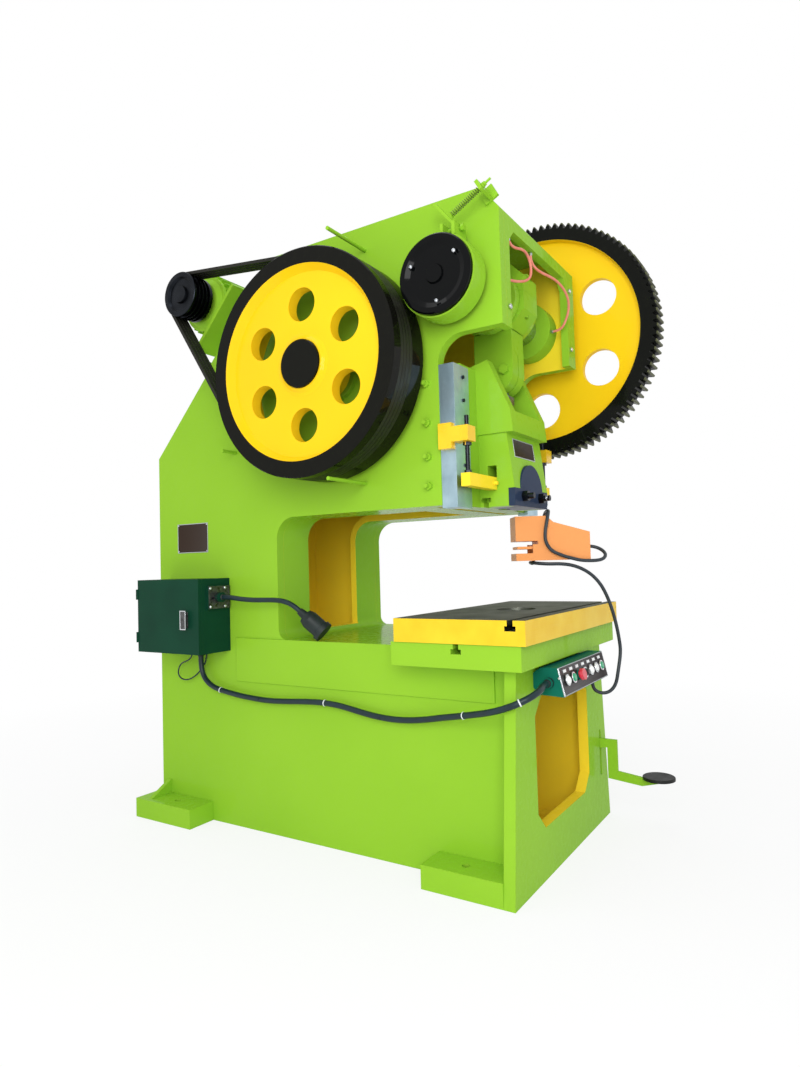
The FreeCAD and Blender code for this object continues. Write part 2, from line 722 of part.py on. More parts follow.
def t_slot(y, top):
    """Outline in side view of a T-slot open to the top, cut across the whole width."""
    low = top - slot_deep
    step = low + slot_head_deep
    neck = slot_neck / 2
    head = slot_head / 2
    return [(y - head, low), (y + head, low), (y + head, step), (y + neck, step),
            (y + neck, top), (y - neck, top), (y - neck, step), (y - head, step)]


def table_plate(label, half, front, rear, low, thick, slot_y):
    """A bed slab or bolster with its T-slot across and its drop hole."""
    middle_y = (bolster_front_y + bolster_rear_y) / 2
    body = new_body(label)
    pad(body, label + "_slab", "YZ", [rectangle(front, rear, low, low + thick)],
        -half, half * 2)
    pocket(body, label + "_slot", "YZ", [t_slot(slot_y, low + thick)], -half, half * 2)
    pocket(body, label + "_hole", "XY", [], low, thick, [(0, middle_y, drop_hole_r)])
    return keep(label, body)


# ---------------------------------------------------------------- bearings and shafts

def shaft_bearings():
    """Flanged bushes of the crankshaft and the countershaft, two of each."""
    bushes = []
    for side, word in ((-1, "left"), (1, "right")):
        inside = plate_in - boss_in
        start = inside if side > 0 else -plate_in
        boss = rod(f"crank_boss_{word}", boss_r, boss_in, (start, crank_y, crank_z))
        start = inside if side > 0 else -frame_half - 2
        spigot = rod(f"crank_spigot_{word}", spigot_r, boss_in + plate_thick + 2,
                     (start, crank_y, crank_z))
        bore = rod(f"crank_bore_{word}", journal_r + run_gap, boss_in + plate_thick + 4,
                   (start, crank_y, crank_z))
        bushes.append(cut(f"crank_bush_{word}", fuse(f"crank_turned_{word}", [boss, spigot]),
                          [bore]))
        start = frame_half if side > 0 else -frame_half - counter_flange
        flange = rod(f"counter_flange_{word}", counter_boss_r, counter_flange,
                     (start, counter_y, counter_z))
        start = plate_in if side > 0 else -frame_half - counter_flange
        neck = rod(f"counter_spigot_{word}", counter_spigot_r, plate_thick + counter_flange,
                   (start, counter_y, counter_z))
        hole = rod(f"counter_bore_{word}", counter_r + run_gap, plate_thick + counter_flange,
                   (start, counter_y, counter_z))
        bushes.append(cut(f"counter_bush_{word}", fuse(f"counter_turned_{word}",
                                                       [flange, neck]), [hole]))
    return keep("shaft_bearings", group("shaft_bearings", bushes))


def crankshaft():
    """Journals, eccentric pin and two round cheeks, the pin at the top."""
    left = drum_x + 14
    right = gear_x + gear_width + 26
    journals = [rod("journal_left", journal_r, -pin_half - left, (left, crank_y, crank_z)),
                rod("journal_right", journal_r, right - pin_half, (pin_half, crank_y, crank_z))]
    pin = rod("crank_pin", pin_r, pin_half * 2, (-pin_half, crank_y, pin_z))
    cheek_z = crank_z + crank_throw / 2
    cheeks = [rod("crank_cheek_left", cheek_r, cheek_thick,
                  (-pin_half - cheek_thick, crank_y, cheek_z)),
              rod("crank_cheek_right", cheek_r, cheek_thick, (pin_half, crank_y, cheek_z))]
    return keep("crankshaft", fuse("crankshaft", journals + [pin] + cheeks))


def clutch_cover():
    """Round cover of the rotary key clutch on the crankshaft's right end."""
    inner = gear_x + gear_width + 26 + fit_gap
    disc = rod("clutch_disc", 92, 18, (inner, crank_y, crank_z))
    hub = rod("clutch_hub", 52, 30, (inner, crank_y, crank_z))
    bolts = []
    for i in range(6):
        angle = math.radians(60 * i + 30)
        bolts.append(hexagon(f"clutch_bolt_{i}", 16, 8,
                             (inner + 18, crank_y + 74 * math.cos(angle),
                              crank_z + 74 * math.sin(angle))))
    return keep("clutch_cover", fuse("clutch_cover", [disc, hub] + bolts))


def brake_drum():
    """Black drum with a dished front face, keyed to the crankshaft."""
    front = drum_x
    back = drum_x + drum_long
    bore = journal_r + fit_gap
    body = new_body("brake_drum")
    revolve(body, "drum_turned", [
        (front, 0), (front, 30), (front + 8, 34), (front + 8, drum_r - 40),
        (front, drum_r - 22), (front, drum_r - 5), (front + 5, drum_r), (back, drum_r),
        (back, drum_r - 20), (front + 26, drum_r - 20), (front + 26, bore + 22),
        (back, bore + 22), (back, bore), (front + 14 - fit_gap, bore),
        (front + 14 - fit_gap, 0)])
    put(body, 0, crank_y, crank_z)
    return keep("brake_drum", body)


def gear_outline(teeth, module, backlash, root_depth):
    """Points of an involute gear's outline, one tooth after another."""
    pitch_r = module * teeth / 2
    base_r = pitch_r * math.cos(math.radians(20))
    tip_r = pitch_r + module
    root_r = pitch_r - root_depth * module
    half_pitch = math.pi / (2 * teeth) - backlash / (2 * pitch_r)

    def involute(r):
        turn = math.acos(min(1, base_r / r))
        return math.tan(turn) - turn

    radii = [max(base_r, root_r), (max(base_r, root_r) + pitch_r) / 2, pitch_r,
             (pitch_r + tip_r) / 2, tip_r]
    if teeth > 40:
        radii = [root_r, pitch_r, tip_r]
    flank = []
    for r in radii:
        lean = involute(max(r, base_r)) - involute(pitch_r)
        flank.append((r, half_pitch - lean))
    if root_r < radii[0]:
        flank.insert(0, (root_r, flank[0][1]))
    points = []
    for tooth in range(teeth):
        middle = 2 * math.pi * tooth / teeth
        for r, angle in flank:
            points.append((r, middle - angle))
        for r, angle in reversed(flank):
            points.append((r, middle + angle))
    return points


def toothed_disc(teeth, module, backlash, phase, x, width, root_depth=1.25):
    """A toothed disc about the X axis. phase turns the first tooth from +Y towards +Z."""
    ring = []
    for r, angle in gear_outline(teeth, module, backlash, root_depth):
        ring.append(Vec(x, r * math.cos(angle + phase), r * math.sin(angle + phase)))
    ring.append(ring[0])
    return Part.Face(Part.makePolygon(ring)).extrude(Vec(width, 0, 0))


def tube_along_x(radius, bore, x, length):
    outer = Part.makeCylinder(radius, length, Vec(x, 0, 0), Vec(1, 0, 0))
    if not bore:
        return outer
    return outer.cut(Part.makeCylinder(bore, length, Vec(x, 0, 0), Vec(1, 0, 0)))


gear_line = math.atan2(float(counter_z) - float(crank_z), float(counter_y) - float(crank_y))
tooth_backlash = 0.9


def large_gear():
    """Cast spur gear: toothed rim, thin web with round holes, and hub."""
    x = float(gear_x)
    width = float(gear_width)
    module = float(gear_module)
    rim_in = module * gear_teeth / 2 - 1.25 * module - float(gear_rim)
    web_x = x + (width - float(gear_web)) / 2
    blank = toothed_disc(gear_teeth, module, tooth_backlash, gear_line, x, width)
    blank = blank.cut(tube_along_x(rim_in, 0, x, width))
    web = tube_along_x(rim_in + 2, 0, web_x, float(gear_web))
    hub = tube_along_x(float(gear_hub_r), 0, x - 20, width + 44)
    gear = blank.fuse([web, hub])
    tools = [tube_along_x(float(journal_r) + float(run_gap), 0, x - 30, width + 80)]
    for i in range(6):
        angle = math.radians(60 * i + 30)
        centre = Vec(x, float(gear_hole_pitch) * math.cos(angle),
                     float(gear_hole_pitch) * math.sin(angle))
        tools.append(Part.makeCylinder(float(gear_hole_r), width, centre, Vec(1, 0, 0)))
    gear = gear.cut(tools).removeSplitter()
    place = FreeCAD.Placement(Vec(0, float(crank_y), float(crank_z)), FreeCAD.Rotation())
    return keep("large_gear", solid_feature("large_gear", gear, place))


def pinion_shaft():
    """Countershaft with the pinion cut on its right end."""
    left = float(fly_x) + float(fly_dish) - 10 + float(fit_gap)
    x = float(gear_x) - 2
    width = float(gear_width) + 4
    half_tooth = math.pi / pinion_teeth
    phase = gear_line + math.pi + half_tooth
    teeth = toothed_disc(pinion_teeth, float(gear_module), tooth_backlash, phase, x, width, 1.2)
    shaft = tube_along_x(float(counter_r), 0, left, x + width + 12 - left)
    solid = shaft.fuse(teeth).removeSplitter()
    place = FreeCAD.Placement(Vec(0, float(counter_y), float(counter_z)), FreeCAD.Rotation())
    return keep("pinion_shaft", solid_feature("pinion_shaft", solid, place))


def belt_centres():
    return [belt_x + belt_top / 2 + belt_pitch * i for i in range(belt_count)]


def flywheel():
    """Cast flywheel: rim with V-grooves, dished web with six holes, and hub."""
    front = fly_x
    back = fly_x + fly_width
    face = fly_x + fly_dish
    web_back = face + fly_web
    bore = counter_r + fit_gap
    body = new_body("flywheel")
    revolve(body, "wheel_turned", [
        (face - 12 - cap_thick, 0), (face - 12 - cap_thick, cap_r - 4),
        (face - 8 - cap_thick, cap_r), (face - 12, cap_r), (face - 12, fly_hub_r - 10),
        (face - 4, fly_hub_r),
        (face, fly_hub_r + 12), (face, fly_rim_r - 18), (front, fly_rim_r),
        (front, fly_r - 4), (front + 4, fly_r), (back, fly_r), (back, fly_rim_r),
        (web_back, fly_rim_r - 18), (web_back, fly_hub_r + 12), (back - 4, fly_hub_r),
        (back - 4, bore), (face - 10, bore), (face - 10, 0)])
    hole = pocket(body, "wheel_hole", "YZ", [], face - 1, fly_web + 2,
                  [(0, fly_hole_pitch, fly_hole_r)])
    polar(body, "wheel_holes", hole, 6)
    axis = [f for f in body.Origin.OriginFeatures if f.Role == "X_Axis"][0]
    grooves = new_sketch(body, "wheel_grooves_sketch", "XY", 0)
    for centre in belt_centres():
        draw_polygon(grooves, groove_outline(centre, fly_r))
    turned = body.newObject("PartDesign::Groove", "wheel_grooves")
    turned.Profile = grooves
    turned.ReferenceAxis = (axis, [""])
    turned.Angle = 360
    put(body, 0, counter_y, counter_z)
    return keep("flywheel", body)


def groove_outline(centre, radius):
    """V-groove round a belt, a fit gap away from it on every side."""
    half_low = belt_low / 2 + fit_gap
    half_top = belt_top / 2 + fit_gap
    return [(centre - half_low, radius - belt_deep - fit_gap),
            (centre + half_low, radius - belt_deep - fit_gap),
            (centre + half_top, radius), (centre - half_top, radius)]


def v_belts():
    """Four endless V-belts round the flywheel and the motor pulley."""
    wheel = (float(counter_y), float(counter_z), float(fly_r))
    pulley = (float(motor_y), float(motor_z), float(pulley_r))
    gap = math.hypot(pulley[0] - wheel[0], pulley[1] - wheel[1])
    line = math.atan2(pulley[1] - wheel[1], pulley[0] - wheel[0])
    spread = math.acos((wheel[2] - pulley[2]) / gap)

    def at(x, centre, radius, angle):
        return Vec(x, centre[0] + radius * math.cos(angle), centre[1] + radius * math.sin(angle))

    def loop(x, shrink):
        """Closed loop of two tangent lines and two arcs, set in by shrink."""
        wheel_r = wheel[2] - shrink
        pulley_r_in = pulley[2] - shrink
        upper = line + spread
        lower = line - spread
        corners = [at(x, wheel, wheel_r, upper), at(x, pulley, pulley_r_in, upper),
                   at(x, pulley, pulley_r_in, lower), at(x, wheel, wheel_r, lower)]
        return Part.Wire([
            Part.LineSegment(corners[0], corners[1]).toShape(),
            Part.Arc(corners[1], at(x, pulley, pulley_r_in, line), corners[2]).toShape(),
            Part.LineSegment(corners[2], corners[3]).toShape(),
            Part.Arc(corners[3], at(x, wheel, wheel_r, line + math.pi), corners[0]).toShape()])

    belts = []
    deep = float(belt_deep)
    half_top = float(belt_top) / 2
    half_low = float(belt_low) / 2
    for centre in belt_centres():
        x = float(centre)
        whole = Part.Face(loop(x - half_top, 0)).extrude(Vec(2 * half_top, 0, 0))
        hollow = Part.Face(loop(x - half_low, deep)).extrude(Vec(2 * half_low, 0, 0))
        left = Part.makeLoft([loop(x - half_top, 0), loop(x - half_low, deep)], True, True)
        right = Part.makeLoft([loop(x + half_low, deep), loop(x + half_top, 0)], True, True)
        belts.append(whole.cut([left, hollow, right]).removeSplitter())
    return keep("v_belts", solid_feature("v_belts", Part.makeCompound(belts)))


# ---------------------------------------------------------------- motor

SLOPE = FreeCAD.Rotation(Vec(1, 0, 0), -slope_deg)


def motor_pulley():
    """Grooved pulley on the motor's shaft."""
    front = pulley_x
    back = pulley_x + pulley_long
    body = new_body("motor_pulley")
    revolve(body, "pulley_turned", [
        (front, 0), (front, 34), (front + 10, 38), (front + 10, pulley_r - 26),
        (front, pulley_r - 20), (front, pulley_r - 2), (front + 2, pulley_r),
        (back, pulley_r), (back, motor_shaft_r), (motor_x, motor_shaft_r), (motor_x, 0)])
    axis = [f for f in body.Origin.OriginFeatures if f.Role == "X_Axis"][0]
    grooves = new_sketch(body, "pulley_grooves_sketch", "XY", 0)
    for centre in belt_centres():
        draw_polygon(grooves, groove_outline(centre, pulley_r))
    turned = body.newObject("PartDesign::Groove", "pulley_grooves")
    turned.Profile = grooves
    turned.ReferenceAxis = (axis, [""])
    turned.Angle = 360
    put(body, 0, motor_y, motor_z)
    return keep("motor_pulley", body)


def motor_body():
    """Finned housing with its end shield, two feet and the terminal box, set on the slope."""
    body = new_body("motor_body")
    end = motor_x + motor_long
    revolve(body, "housing_turned", [
        (motor_x + 1, motor_shaft_r + 6), (motor_x + 1, motor_r - 30), (motor_x + 14, motor_r - 8),
        (motor_x + 14, motor_r + 6), (motor_x + 30, motor_r + 6), (motor_x + 30, motor_r),
        (end, motor_r), (end, motor_shaft_r + 6)])
    fin = pad(body, "fin", "YZ", [rectangle(-2, 2, motor_r - 4, motor_r + motor_fin)],
              motor_x + 30, motor_long - 30)
    polar(body, "fins", fin, motor_fins)
    foot_top = -motor_r * 0.7
    foot_half = motor_height * 0.82
    for name, start in (("foot_front", motor_x + 60), ("foot_rear", motor_x + motor_long - 110)):
        foot = [(-foot_half, -motor_height), (foot_half, -motor_height),
                (foot_half, -motor_height + 16), (foot_half - 36, foot_top),
                (36 - foot_half, foot_top), (-foot_half, -motor_height + 16)]
        pad(body, name, "YZ", [foot], start, 46)
    box_low = motor_r - 14
    pad(body, "terminal_box", "YZ", [rectangle(-52, 52, box_low, motor_r + 62)],
        motor_x + 96, 118)
    put(body, 0, motor_y, motor_z, SLOPE)
    return keep("motor_body", body)


def motor_fan_cover():
    """Sheet cover over the fan at the motor's rear end."""
    start = motor_x + motor_long + fit_gap
    cover_r = motor_r + motor_fin - 2
    body = new_body("motor_fan_cover")
    revolve(body, "cover_turned", [
        (start, cover_r - 3), (start, cover_r), (start + 62, cover_r), (start + 78, cover_r - 18),
        (start + 78, 0), (start + 75, 0), (start + 75, cover_r - 20), (start + 61, cover_r - 3)])
    put(body, 0, motor_y, motor_z, SLOPE)
    return keep("motor_fan_cover", body)


def motor_base_plate():
    """Plate under the motor, along the slope, with its hinge eyes at the lower edge."""
    low = motor_x - 34
    high = motor_x + motor_long + 30
    half = motor_height + 30
    top = -motor_height
    body = new_body("motor_base_plate")
    pad(body, "plate", "YZ", [rectangle(-half, half, top - motor_plate_thick, top)],
        low, high - low)
    for name, start in (("eye_left", -plate_in + 40), ("eye_right", -plate_in + 250)):
        eye = [(half - 4, top - motor_plate_thick), (half + 36, top - motor_plate_thick),
               (half + 44, top + 8), (half + 30, top + 14), (half - 4, top)]
        pad(body, name, "YZ", [eye], start, 30)
    put(body, 0, motor_y, motor_z, SLOPE)
    return keep("motor_base_plate", body)


def motor_mounts():
    """Two rails under the motor base plate, each with its arm for the hinge tube."""
    parts = []
    top = -motor_height - motor_plate_thick
    half = motor_height + 30
    low = top - motor_rail
    rail = rectangle(-half, half + 70, low, top)
    arm = [(half + 48, top), (half + 70, top), (half + 70, top + 44), (half + 48, top + 44)]
    for word, start, width in (("left", -frame_half, plate_thick), ("middle", 40 - plate_in, 240)):
        body = new_body(f"mount_rail_{word}")
        pad(body, f"rail_{word}", "YZ", [rail], start, width)
        if word == "middle":
            pad(body, "rail_foot", "YZ",
                [rectangle(half - 60, half + 60, low - cover_inset, low)], start, width)
        pad(body, f"rail_arm_{word}", "YZ", [arm], start, width)
        put(body, 0, motor_y, motor_z, SLOPE)
        parts.append(body)
    return keep("motor_mounts", group("motor_mounts", parts))


# ---------------------------------------------------------------- brake

band_r = drum_r + 0.4
band_x = drum_x + 20
lever_low = (crank_y - 65, crank_z + 159)
lever_high = (crank_y + 19, crank_z + 262)
spring_foot = (crank_y - 36, crank_z + 207)
spring_head = (crank_y - 150, crank_z + 269)


def brake_band():
    """Steel band round the drum, open at the top between two lugs, with its lever."""
    back = band_x + band_width
    ring = rod("band_ring", band_r + band_thick, band_width, (band_x, crank_y, crank_z))
    hollow = rod("band_hollow", band_r, band_width, (band_x, crank_y, crank_z))
    split = block("band_split", (band_x, back), (crank_y - 62, crank_y - 30),
                  (crank_z + 90, crank_z + 200))
    ring_cut = cut("band_open", ring, [hollow, split])
    front_lug = block("band_front_lug", (band_x, back), (crank_y - 74, crank_y - 62),
                      (crank_z + 124, crank_z + 168))
    rear_lug = block("band_rear_lug", (band_x, back), (crank_y - 30, crank_y - 18),
                     (crank_z + 137, crank_z + 168))
    bolt = rod("band_bolt", 7, 76, (band_x + band_width / 2, crank_y - 84, crank_z + 156), TO_Y)
    anchor = block("band_anchor", (band_x + 40, -frame_half), (crank_y - 26, crank_y - 18),
                   (crank_z + 140, crank_z + 168))
    lever = solid_feature("band_lever", lever_bar())
    nut = hexagon("band_nut", 22, 12, (band_x + band_width / 2, crank_y - 90, crank_z + 156),
                  TO_Y)
    joined = fuse("brake_band", [ring_cut, front_lug, rear_lug, bolt, anchor, lever, nut])
    return keep("brake_band", joined)


def lever_bar():
    """Flat bar that rises from the front lug to the spring's rod."""
    low = Vec(0, float(lever_low[0]), float(lever_low[1]))
    high = Vec(0, float(lever_high[0]), float(lever_high[1]))
    along = (high - low).normalize()
    side = Vec(0, -along.z, along.y) * 5
    x = float(band_x) + float(band_width) / 2 - 12
    start = low - along * 14
    ring = [start - side, high - side, high + side, start + side, start - side]
    bar = Part.Face(Part.makePolygon([Vec(x, p.y, p.z) for p in ring]))
    return bar.extrude(Vec(24, 0, 0))


def spring_line():
    """Foot, head and unit direction of the brake spring's rod."""
    x = float(band_x) + float(band_width) / 2
    foot = Vec(x, float(spring_foot[0]), float(spring_foot[1]))
    head = Vec(x, float(spring_head[0]), float(spring_head[1]))
    return foot, head, (head - foot).normalize()


def brake_bracket():
    """Forked bracket on the head's corner, with the spring's rod and its nuts."""
    foot, head, along = spring_line()
    rise = Vec(1, 0, 0).cross(along)
    x_plate = -float(frame_half)
    reach = foot.x - 22
    base_mid = head + along * 5
    ears = []
    for shift in (-19, 11):
        corner = base_mid - along * 6 + rise * shift
        ring = [corner, corner + along * 12, corner + along * 12 + rise * 8, corner + rise * 8]
        face = Part.Face(Part.makePolygon([Vec(x_plate, p.y, p.z) for p in ring + ring[:1]]))
        ears.append(face.extrude(Vec(reach - x_plate, 0, 0)))
    ring = [base_mid - along * 26 - rise * 30, base_mid + along * 26 - rise * 30,
            base_mid + along * 26 + rise * 20, base_mid - along * 26 + rise * 20]
    face = Part.Face(Part.makePolygon([Vec(x_plate, p.y, p.z) for p in ring + ring[:1]]))
    pad_plate = face.extrude(Vec(-10, 0, 0))
    web_ring = [base_mid - along * 6 - rise * 19, base_mid + along * 6 - rise * 19,
                base_mid + along * 6 + rise * 19, base_mid - along * 6 + rise * 19]
    face = Part.Face(Part.makePolygon([Vec(x_plate, p.y, p.z) for p in web_ring + web_ring[:1]]))
    web = face.extrude(Vec(reach - x_plate, 0, 0))
    hole = Part.makeCylinder(4.5, 60, head - along * 20, along)
    bracket = pad_plate.fuse([web] + ears).cut(hole)
    start = foot + along * 5.6
    rod_long = (head - start).dot(along) + 46
    spring_rod = Part.makeCylinder(4, rod_long, start, along)
    nuts = [Part.makeCylinder(9, 7, base_mid + along * 6.3, along),
            Part.makeCylinder(8, 6, base_mid + along * 14, along)]
    washer = Part.makeCylinder(11.5, 2.5, start, along)
    rod_solid = spring_rod.fuse(nuts + [washer])
    shape = Part.makeCompound([bracket.removeSplitter(), rod_solid.removeSplitter()])
    return keep("brake_bracket", solid_feature("brake_bracket", shape))


def brake_spring():
    """Compression spring on the rod, one unbroken helical wire of half-turn biarcs."""
    foot, head, along = spring_line()
    start = foot + along * (5.6 + 2.5 + float(spring_wire_r) + 0.3)
    stop = head - along * (1 + float(spring_wire_r) + 0.3)
    length = (stop - start).Length
    pitch = length / spring_turns
    mean = float(spring_mean_r)
    across = Vec(1, 0, 0)
    rise = along.cross(across)

    def at(turn):
        angle = 2 * math.pi * turn
        return (start + along * (pitch * turn) + across * (mean * math.cos(angle))
                + rise * (mean * math.sin(angle)))

    edges = []
    for i in range(spring_turns * 4):
        edges.append(Part.Arc(at(i / 4), at((i + 0.5) / 4), at((i + 1) / 4)).toShape())
    path = Part.Wire(edges)
    tangent = (at(0.001) - at(0)).normalize()
    wire = Part.Wire([Part.Circle(at(0), tangent, float(spring_wire_r)).toShape()])
    shape = Part.Wire(path).makePipeShell([wire], True, False)
    least = min((at(t / 24) - at(t / 24 + 1)).Length for t in range(24))
    print("brake spring gap between turns", round(least - 2 * float(spring_wire_r), 2))
    return keep("brake_spring", solid_feature("brake_spring", shape))


def guard_studs():
    """Studs on the flywheel's side plate."""
    reach = frame_half + 230
    studs = [rod("stud_top", 7, reach - frame_half, (-reach, counter_y - 153, counter_z + 451)),
             rod("stud_low", 7, reach - frame_half, (-reach, counter_y - 130, counter_z - 430)),
             rod("stud_rear", 7, 80, (-frame_half - 80, counter_y + 543, counter_z - 243))]
    return keep("guard_studs", group("guard_studs", studs))


# ---------------------------------------------------------------- rod, slide, clamp

def connecting_rod():
    """Rod body: sloped-corner big end below the split, round lower end, screw bore."""
    body = new_body("connecting_rod")
    waist = rod_low_z + 40
    big = [(crank_y - rod_big, pin_z - fit_gap / 2), (crank_y - rod_big, pin_z - 70),
           (crank_y - rod_big + rod_corner, pin_z - 70 - rod_corner),
           (crank_y + rod_big - rod_corner, pin_z - 70 - rod_corner),
           (crank_y + rod_big, pin_z - 70), (crank_y + rod_big, pin_z - fit_gap / 2)]
    pad(body, "big_end", "YZ", [big], -rod_half, rod_half * 2)
    shank = [(crank_y - rod_small_r, rod_low_z), (crank_y + rod_small_r, rod_low_z),
             (crank_y + rod_small_r, waist), (crank_y + rod_big - rod_corner, pin_z - 135),
             (crank_y - rod_big + rod_corner, pin_z - 135), (crank_y - rod_small_r, waist)]
    pad(body, "rod_shank", "YZ", [shank], -rod_small_half, rod_small_half * 2)
    pad(body, "small_end", "YZ", [], -rod_small_half, rod_small_half * 2,
        [(crank_y, rod_low_z, rod_small_r)])
    pocket(body, "pin_bore", "YZ", [], -rod_half - 1, rod_half * 2 + 2,
           [(crank_y, pin_z, pin_r + run_gap)])
    pocket(body, "screw_bore", "XY", [], rod_low_z - rod_small_r - 1, rod_small_r + 92,
           [(0, crank_y, screw_r + fit_gap)])
    low = rod_low_z - rod_small_r
    pocket(body, "clamp_slit", "YZ", [rectangle(crank_y - rod_small_r - 1, crank_y, low - 1,
                                                rod_low_z + 70)], -3, 6)
    holes = [(0, crank_y - rod_bolt_y, rod_bolt_r + fit_gap),
             (0, crank_y + rod_bolt_y, rod_bolt_r + fit_gap)]
    pocket(body, "bolt_holes", "XY", [], pin_z - 90, 90, holes)
    return keep("connecting_rod", body)


def rod_cap():
    """Upper half of the rod's big end."""
    body = new_body("rod_cap")
    base = pin_z + fit_gap / 2
    outline = [(crank_y - rod_big, base), (crank_y - rod_big, pin_z + 60),
               (crank_y - rod_big + rod_corner, pin_z + 60 + rod_corner),
               (crank_y + rod_big - rod_corner, pin_z + 60 + rod_corner),
               (crank_y + rod_big, pin_z + 60), (crank_y + rod_big, base)]
    pad(body, "cap_block", "YZ", [outline], -rod_half, rod_half * 2)
    pocket(body, "cap_bore", "YZ", [], -rod_half - 1, rod_half * 2 + 2,
           [(crank_y, pin_z, pin_r + run_gap)])
    holes = [(0, crank_y - rod_bolt_y, rod_bolt_r + fit_gap),
             (0, crank_y + rod_bolt_y, rod_bolt_r + fit_gap)]
    pocket(body, "cap_bolt_holes", "XY", [], pin_z, rod_big, holes)
    seats = [rectangle(-26, 26, crank_y - rod_big - 1, crank_y - rod_bolt_y + 24),
             rectangle(-26, 26, crank_y + rod_bolt_y - 24, crank_y + rod_big + 1)]
    pocket(body, "bolt_seats", "XY", seats, pin_z + 56, rod_big)
    return keep("rod_cap", body)


def rod_bolts():
    """Two bolts through the cap, and the clamp bolt across the rod's lower end."""
    bolts = []
    for side, word in ((-1, "front"), (1, "rear")):
        y = crank_y + rod_bolt_y * side
        stem = rod(f"cap_stem_{word}", rod_bolt_r, 142, (0, y, pin_z - 86), TO_Z)
        head = hexagon(f"cap_head_{word}", 40, 22, (0, y, pin_z + 56), TO_Z)
        bolts.append(fuse(f"cap_bolt_{word}", [stem, head]))
    bolt_y = crank_y - rod_small_r - 12
    for side, word in ((-1, "left"), (1, "right")):
        start = rod_small_half if side > 0 else -rod_small_half - 16
        bolts.append(hexagon(f"pinch_head_{word}", 34, 16,
                             (start, bolt_y + 46, rod_low_z + 6)))
    return keep("rod_bolts", group("rod_bolts", bolts))


def ball_screw():
    """Adjusting screw with its collar and the ball that carries the slide."""
    ball = doc.addObject("Part::Sphere", "screw_ball")
    bind(ball, "Radius", ball_r)
    put(ball, 0, crank_y, ball_z)
    top = rod_low_z + 70
    shank = rod("screw_shank", screw_r, top - ball_z, (0, crank_y, ball_z), TO_Z)
    low = rod_low_z - rod_small_r - 38
    collar = hexagon("screw_collar", 92, 30, (0, crank_y, low), TO_Z)
    ring = rod("screw_ring", 50, 8, (0, crank_y, low - 8), TO_Z)
    return keep("ball_screw", fuse("ball_screw", [ball, shank, collar, ring]))


def stadium(radius, low_y, high_y):
    """Plan of a slot along Y, its round ends drawn with eight short sides each."""
    points = []
    for i in range(9):
        angle = math.pi * i / 8
        points.append((radius * math.cos(angle), high_y + radius * math.sin(angle)))
    for i in range(9):
        angle = math.pi + math.pi * i / 8
        points.append((radius * math.cos(angle), low_y + radius * math.sin(angle)))
    return points


